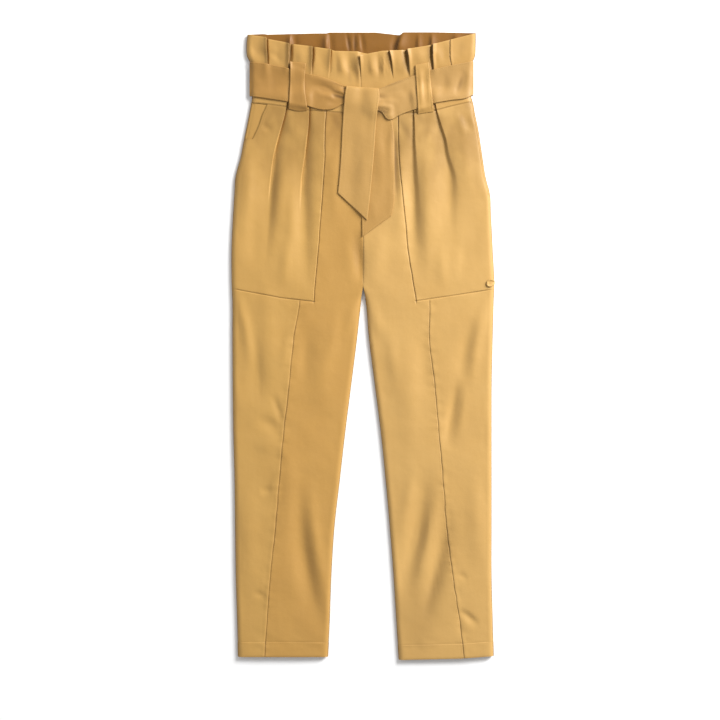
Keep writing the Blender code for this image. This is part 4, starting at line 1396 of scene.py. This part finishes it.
knotEdges = {
    "left": ((-27.5, 945), (-29.5, 934), (-31, 918), (-34, 877), (-36.2, 833), (-38.5, 800),
             (-41.5, 769)),
    "right": ((25.5, 941), (27, 930), (25, 914), (21.5, 885), (18, 833), (15.3, 802), (11.8, 766),
              (7.0, 724)),
}
knotFolds = (
    (-16, 938, -20, 850, 0.4, 9, 9, 0),
    (6, 936, 2, 850, -0.4, 8, 9, 0),
    (18, 938, 12, 870, 0.4, 5, 5, 0),
    (-10, 870, -14, 790, -0.7, 9, 9, 0),
    (4, 850, -2, 760, 0.7, 9, 9, 0),
)
blurred = spread(cover, 6, 34)
hangingEnd("beltEndKnot", "tailCloth", knotEdges, knotFolds, blurred, 0.3,
           curl=2.4)

# A small loop of the cloth, plain, caught in the side seam.
tab = {"left": 203.0, "right": 216.8, "middle": 620.0, "reach": 6.6, "thickness": 1.1, "seam": 4.7,
       "lift": 1.0, "rim": 0.9, "dip": 0.5}
tabColumns = steps(tab["left"], tab["right"], 0.9, (0, 0.15, 0.5, 1.0), (0, 0.4, 1.0))
tabRows = np.cos(np.linspace(0, math.pi, 19))
x = np.tile(np.array(tabColumns), (len(tabRows), 1))
tabHalf = tab["reach"] * np.sqrt(np.clip(1 - ((210.5 - x) / 7.6) ** 2, 0.02, 1))
tabHalf = tabHalf * blendTo(1.0, 0.8, easeIn((x - 208) / 8))
up = tab["middle"] + tabHalf * tabRows[:, None] + 0.12 * (x - tab["left"])
distance = np.minimum(tabHalf * (1 - np.abs(tabRows[:, None])), (x - tab["left"]) * 0.8)
mid = feel(spread(tabCover, 1, 2), np.minimum(x, 209.0), up) + tab["lift"]
mid = tab["seam"] + (mid - tab["seam"]) * roundEdge(np.maximum(217.2 - x, 0), 9.0)
mid = mid + tab["rim"] * bell(distance - 1.0, 1.1) - tab["dip"] * easeIn((distance - 2.0) / 2.0)
stripPiece("sideTab", "rightFront", x, up, mid, tab["thickness"], distance,
           roundness=0.6)

# The belt across the back, under the back waistband, and its two loops below it.
backBelt = {"top": 985.0, "low": 929.0, "left": -184.8, "right": 181.0, "thickness": 1.1, "side": 3.2}
backLoop = {"top": 994, "low": 922, "half": 13, "thickness": 0.8, "rest": 0.45}
close = (0, 0.01, 0.03, 0.06)
shares = steps(0, 1, 0.06, close, close)
xs = steps(backBelt["left"], backBelt["right"], 3.4, nearEdge, nearEdge)
x = np.tile(np.array(xs), (len(shares), 1))
up = backBelt["top"] + (backBelt["low"] - backBelt["top"]) * np.array(shares)[:, None] + 0 * x
out = np.minimum(x - x[:, :1], x[:, -1:] - x)
distance = np.minimum(backBelt["top"] - up, up - backBelt["low"])
mid = 0.3 + overLoops(x) * 0.8 + 0.12 * (1 + softNoise(x, up, 30, 41)) + 0.55
mid = backBelt["side"] + (mid - backBelt["side"]) * roundEdge(out, 5.0)
stripPiece("beltBack", "beltCloth", x, up, mid, backBelt["thickness"], distance)
close = (0, 0.4, 1.2)
for title, centre in zip(("Left", "Right"), backLoops):
    wide = backLoop["half"]
    x, up = np.meshgrid(centre + np.array(steps(-wide, wide, 2.2, close, close)),
                        -np.array(steps(-backLoop["top"], -backLoop["low"], 2.4, close, close)))
    side = np.minimum(x - x[:, :1], x[:, -1:] - x)
    fromEnd = np.minimum(up[:1] - up, up - up[-1:])
    mid = backLoop["rest"] + 0 * x + 0.35 * bell(fromEnd, 3)
    stripPiece(f"beltLoopBack{title}", "beltCloth", x, up, mid, backLoop["thickness"],
               np.minimum(side, fromEnd), roundness=0.7)
print("belt made")

# Topstitching: short threads laid on the cloth along each sewn line.

stitchForm = {"pitch": 3.4, "length": 2.5, "width": 0.62, "height": 0.26}
bpy.context.view_layer.update()
graph = bpy.context.evaluated_depsgraph_get()
trees = {}


def clothUnder(names, x, up, below):
    # where a ray from above, or from below, meets the first of these pieces
    best = None
    for name in names:
        if name not in trees:
            trees[name] = BVHTree.FromObject(madePieces[name], graph)
        start = Vector((x * mm, (hemLine + up) * mm, -1.0 if below else 1.0))
        hit, normal, _, _ = trees[name].ray_cast(start, Vector((0, 0, 1.0 if below else -1.0)))
        if hit is not None and (best is None or (hit.z < best[0].z) == below):
            best = (hit, normal)
    return best


def threadMesh(points, faces, at, along, normal):
    across = normal.cross(along).normalized()
    half, wide, high = (stitchForm[key] * 0.5 * mm for key in ("length", "width", "height"))
    first = len(points)
    points.append(at - along * half - normal * high)
    for step in (-0.55, 0.55):
        middle = at + along * half * step
        points.extend([middle + across * wide, middle + normal * high * 2, middle - across * wide])
    points.append(at + along * half - normal * high)
    for a, b in ((1, 2), (2, 3)):
        faces.append((first, first + a, first + b))
        faces.append((first + a, first + a + 3, first + b + 3, first + b))
        faces.append((first + a + 3, first + 7, first + b + 3))


def stitchRun(name, lines, names, finishOf, below=False):
    points, faces = [], []
    for line in lines:
        line = np.array(line, float)
        run = np.concatenate([[0], np.cumsum(np.hypot(*np.diff(line, axis=0).T))])
        count = max(1, int(run[-1] / stitchForm["pitch"]))
        at = (np.arange(count) + 0.5) * run[-1] / count
        xs, ups = np.interp(at, run, line[:, 0]), np.interp(at, run, line[:, 1])
        dx, du = np.gradient(xs), np.gradient(ups)
        for x, up, a, b in zip(xs, ups, dx, du):
            found = clothUnder(names, x, up, below)
            if found is None:
                continue
            hit, normal = found
            along = Vector((a, b, 0)).normalized()
            along = (along - normal * along.dot(normal)).normalized()
            threadMesh(points, faces, hit, along, normal)
    mesh = bpy.data.meshes.new(name)
    mesh.from_pydata(points, [], faces)
    mesh.materials.append(materials[finishOf])
    mesh.shade_smooth()
    piece = bpy.data.objects.new(name, mesh)
    bpy.context.scene.collection.objects.link(piece)
    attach(piece, "root")


def followLine(half, name, top, low, shift):
    # a run beside one of the pattern's lines, shift outwards
    ups = np.linspace(top, low, 90)
    return np.stack([lineAt(half, name, ups) + half["side"] * shift, ups], axis=1)


def followCourse(course, half, start, end, shift):
    xs = half["side"] * np.linspace(start, end, 60)
    return np.stack([xs, crossAt(course, half, xs) + shift], axis=1)


hemRuns = {"left": (57, 203), "right": (58, 213)}
for half, slotName in ((leftHalf, "front_left"), (rightHalf, "front_right")):
    word, title = half["word"], half["title"]
    names = [part + title for part in ("pocketPanel", "frontCentre", "frontSide")]
    lines = [
        followCourse(hemEdge, half, *hemRuns[word], 23.2),
        followCourse(pocketSeam, half, 84, 208, 2.4),
        followLine(half, "inset", 900, 594, 2.2),
        followLine(half, "pleatIn", 584, 8, -2.4),
    ]
    if word == "left":
        lines.append(followLine(half, "mouth", 914, 862, -5.5))
    stitchRun(f"stitchesFront{title}", lines, names, f"thread{title}")
    thread = f"thread{title}"
    band = [followCourse(waistSeam, half, 6, 176, 2.4)]
    stitchRun(f"stitchesWaist{title}", band, [f"frontWaistband{title}"], thread)
    lines = [
        followCourse(hemEdge, half, *hemRuns[word], 23.2),
        followCourse(waistSeam, half, 4, 176, -2.4),
        followLine(half, "inner", 900, 625, 2.2),
    ]
    stitchRun(f"stitchesBack{title}", lines, [f"back{title}"], thread, below=True)

for word, start, end in (("left", -181, -33), ("right", 27, 177)):
    title = word.capitalize()
    xs = np.linspace(start, end, 80)
    lines = [
        np.stack([xs, throughPoints(beltPlan[word + part], xs) + inwards * beltPlan["stitch"]], axis=1)
        for part, inwards in (("Top", -1), ("Low", 1))
    ]
    names = [f"belt{title}Outer", f"belt{title}Inner"]
    stitchRun(f"stitchesBelt{title}", lines, names, f"thread{title}")


def insideEdges(edges, shift):
    # runs down both edges of a hanging end and along its slanting bottom, a little way in
    left, right = np.array(edges["left"], float), np.array(edges["right"], float)
    a, b = left.copy(), right.copy()
    a[:, 0] += shift
    b[:, 0] -= shift
    run = b[-1] - a[-1]
    rise = np.array([-run[1], run[0]]) / np.hypot(*run)
    rise = rise if rise[1] > 0 else -rise
    return [a, b, np.array([a[-1] + rise * shift, b[-1] + rise * shift])]


for name, edges, end in (("Knot", knotEdges, "beltEndKnot"), ("Under", underEdges, "beltEndUnder")):
    stitchRun(f"stitches{name}", insideEdges(edges, beltPlan["stitch"]), [end], "threadRight")
for title, plan in loops.items():
    sides = []
    for key, inwards in (("leftSide", 1), ("rightSide", -1)):
        ups = np.linspace(plan["top"][0][1] - 4, plan["low"][0][1] + 4, 30)
        xs = throughPoints(plan[key][::-1], ups) + inwards * stripForm["loopStitch"]
        sides.append(np.stack([xs, ups], axis=1))
    stitchRun(f"stitchesLoop{title}", sides, [f"beltLoopFront{title}"], f"thread{title}")
print("stitching made")

# The surface it lies on, the light and the camera.

studio = {
    "floor": (0.95, 0.95, 0.95, 1.0),
    "sky": 0.45,
    "key": 285.0, "keySize": 1.9, "keyAt": (2.5, 2.0, 1.8),
    "fill": 9.0, "fillSize": 2.4, "fillAt": (-2.2, 0.5, 2.2),
    "cameraAt": (-0.005, -0.023), "height": 3.3, "lens": 100.0, "sensor": 36.0,
}
floorMesh = bpy.data.meshes.new("floor")
reach = 6.0
corners = [(-reach, -reach, 0), (reach, -reach, 0), (reach, reach, 0), (-reach, reach, 0)]
floorMesh.from_pydata(corners, [], [(0, 1, 2, 3)])
floor = bpy.data.objects.new("floor", floorMesh)
bpy.context.scene.collection.objects.link(floor)
floorMaterial = bpy.data.materials.new("paleFloor")
floorMaterial.use_nodes = True
floorShader = floorMaterial.node_tree.nodes["Principled BSDF"]
floorShader.inputs["Base Color"].default_value = studio["floor"]
floorShader.inputs["Roughness"].default_value = 0.9
floorShader.inputs["Specular IOR Level"].default_value = 0.1
floorMesh.materials.append(floorMaterial)
floor.location.z = cadBox[0].z - 0.0002


def softBox(name, power, size, at):
    light = bpy.data.lights.new(name, "AREA")
    light.energy = power
    light.shape = "RECTANGLE"
    light.size = size
    light.size_y = size
    lamp = bpy.data.objects.new(name, light)
    lamp.location = at
    lamp.rotation_euler = (Vector((0, 0, 0)) - Vector(at)).to_track_quat("-Z", "Y").to_euler()
    bpy.context.scene.collection.objects.link(lamp)


softBox("keyLight", studio["key"], studio["keySize"], studio["keyAt"])
softBox("fillLight", studio["fill"], studio["fillSize"], studio["fillAt"])
world = bpy.data.worlds.new("studio")
world.use_nodes = True
world.node_tree.nodes["Background"].inputs["Color"].default_value = (1.0, 1.0, 1.0, 1.0)
world.node_tree.nodes["Background"].inputs["Strength"].default_value = studio["sky"]
bpy.context.scene.world = world
bpy.context.scene.view_settings.view_transform = "Standard"
bpy.context.scene.view_settings.look = "None"

cameraData = bpy.data.cameras.new("camera")
cameraData.lens = studio["lens"]
cameraData.sensor_width = studio["sensor"]
camera = bpy.data.objects.new("camera", cameraData)
camera.location = (*studio["cameraAt"], studio["height"])
bpy.context.scene.collection.objects.link(camera)
bpy.context.scene.camera = camera
print("studio made")
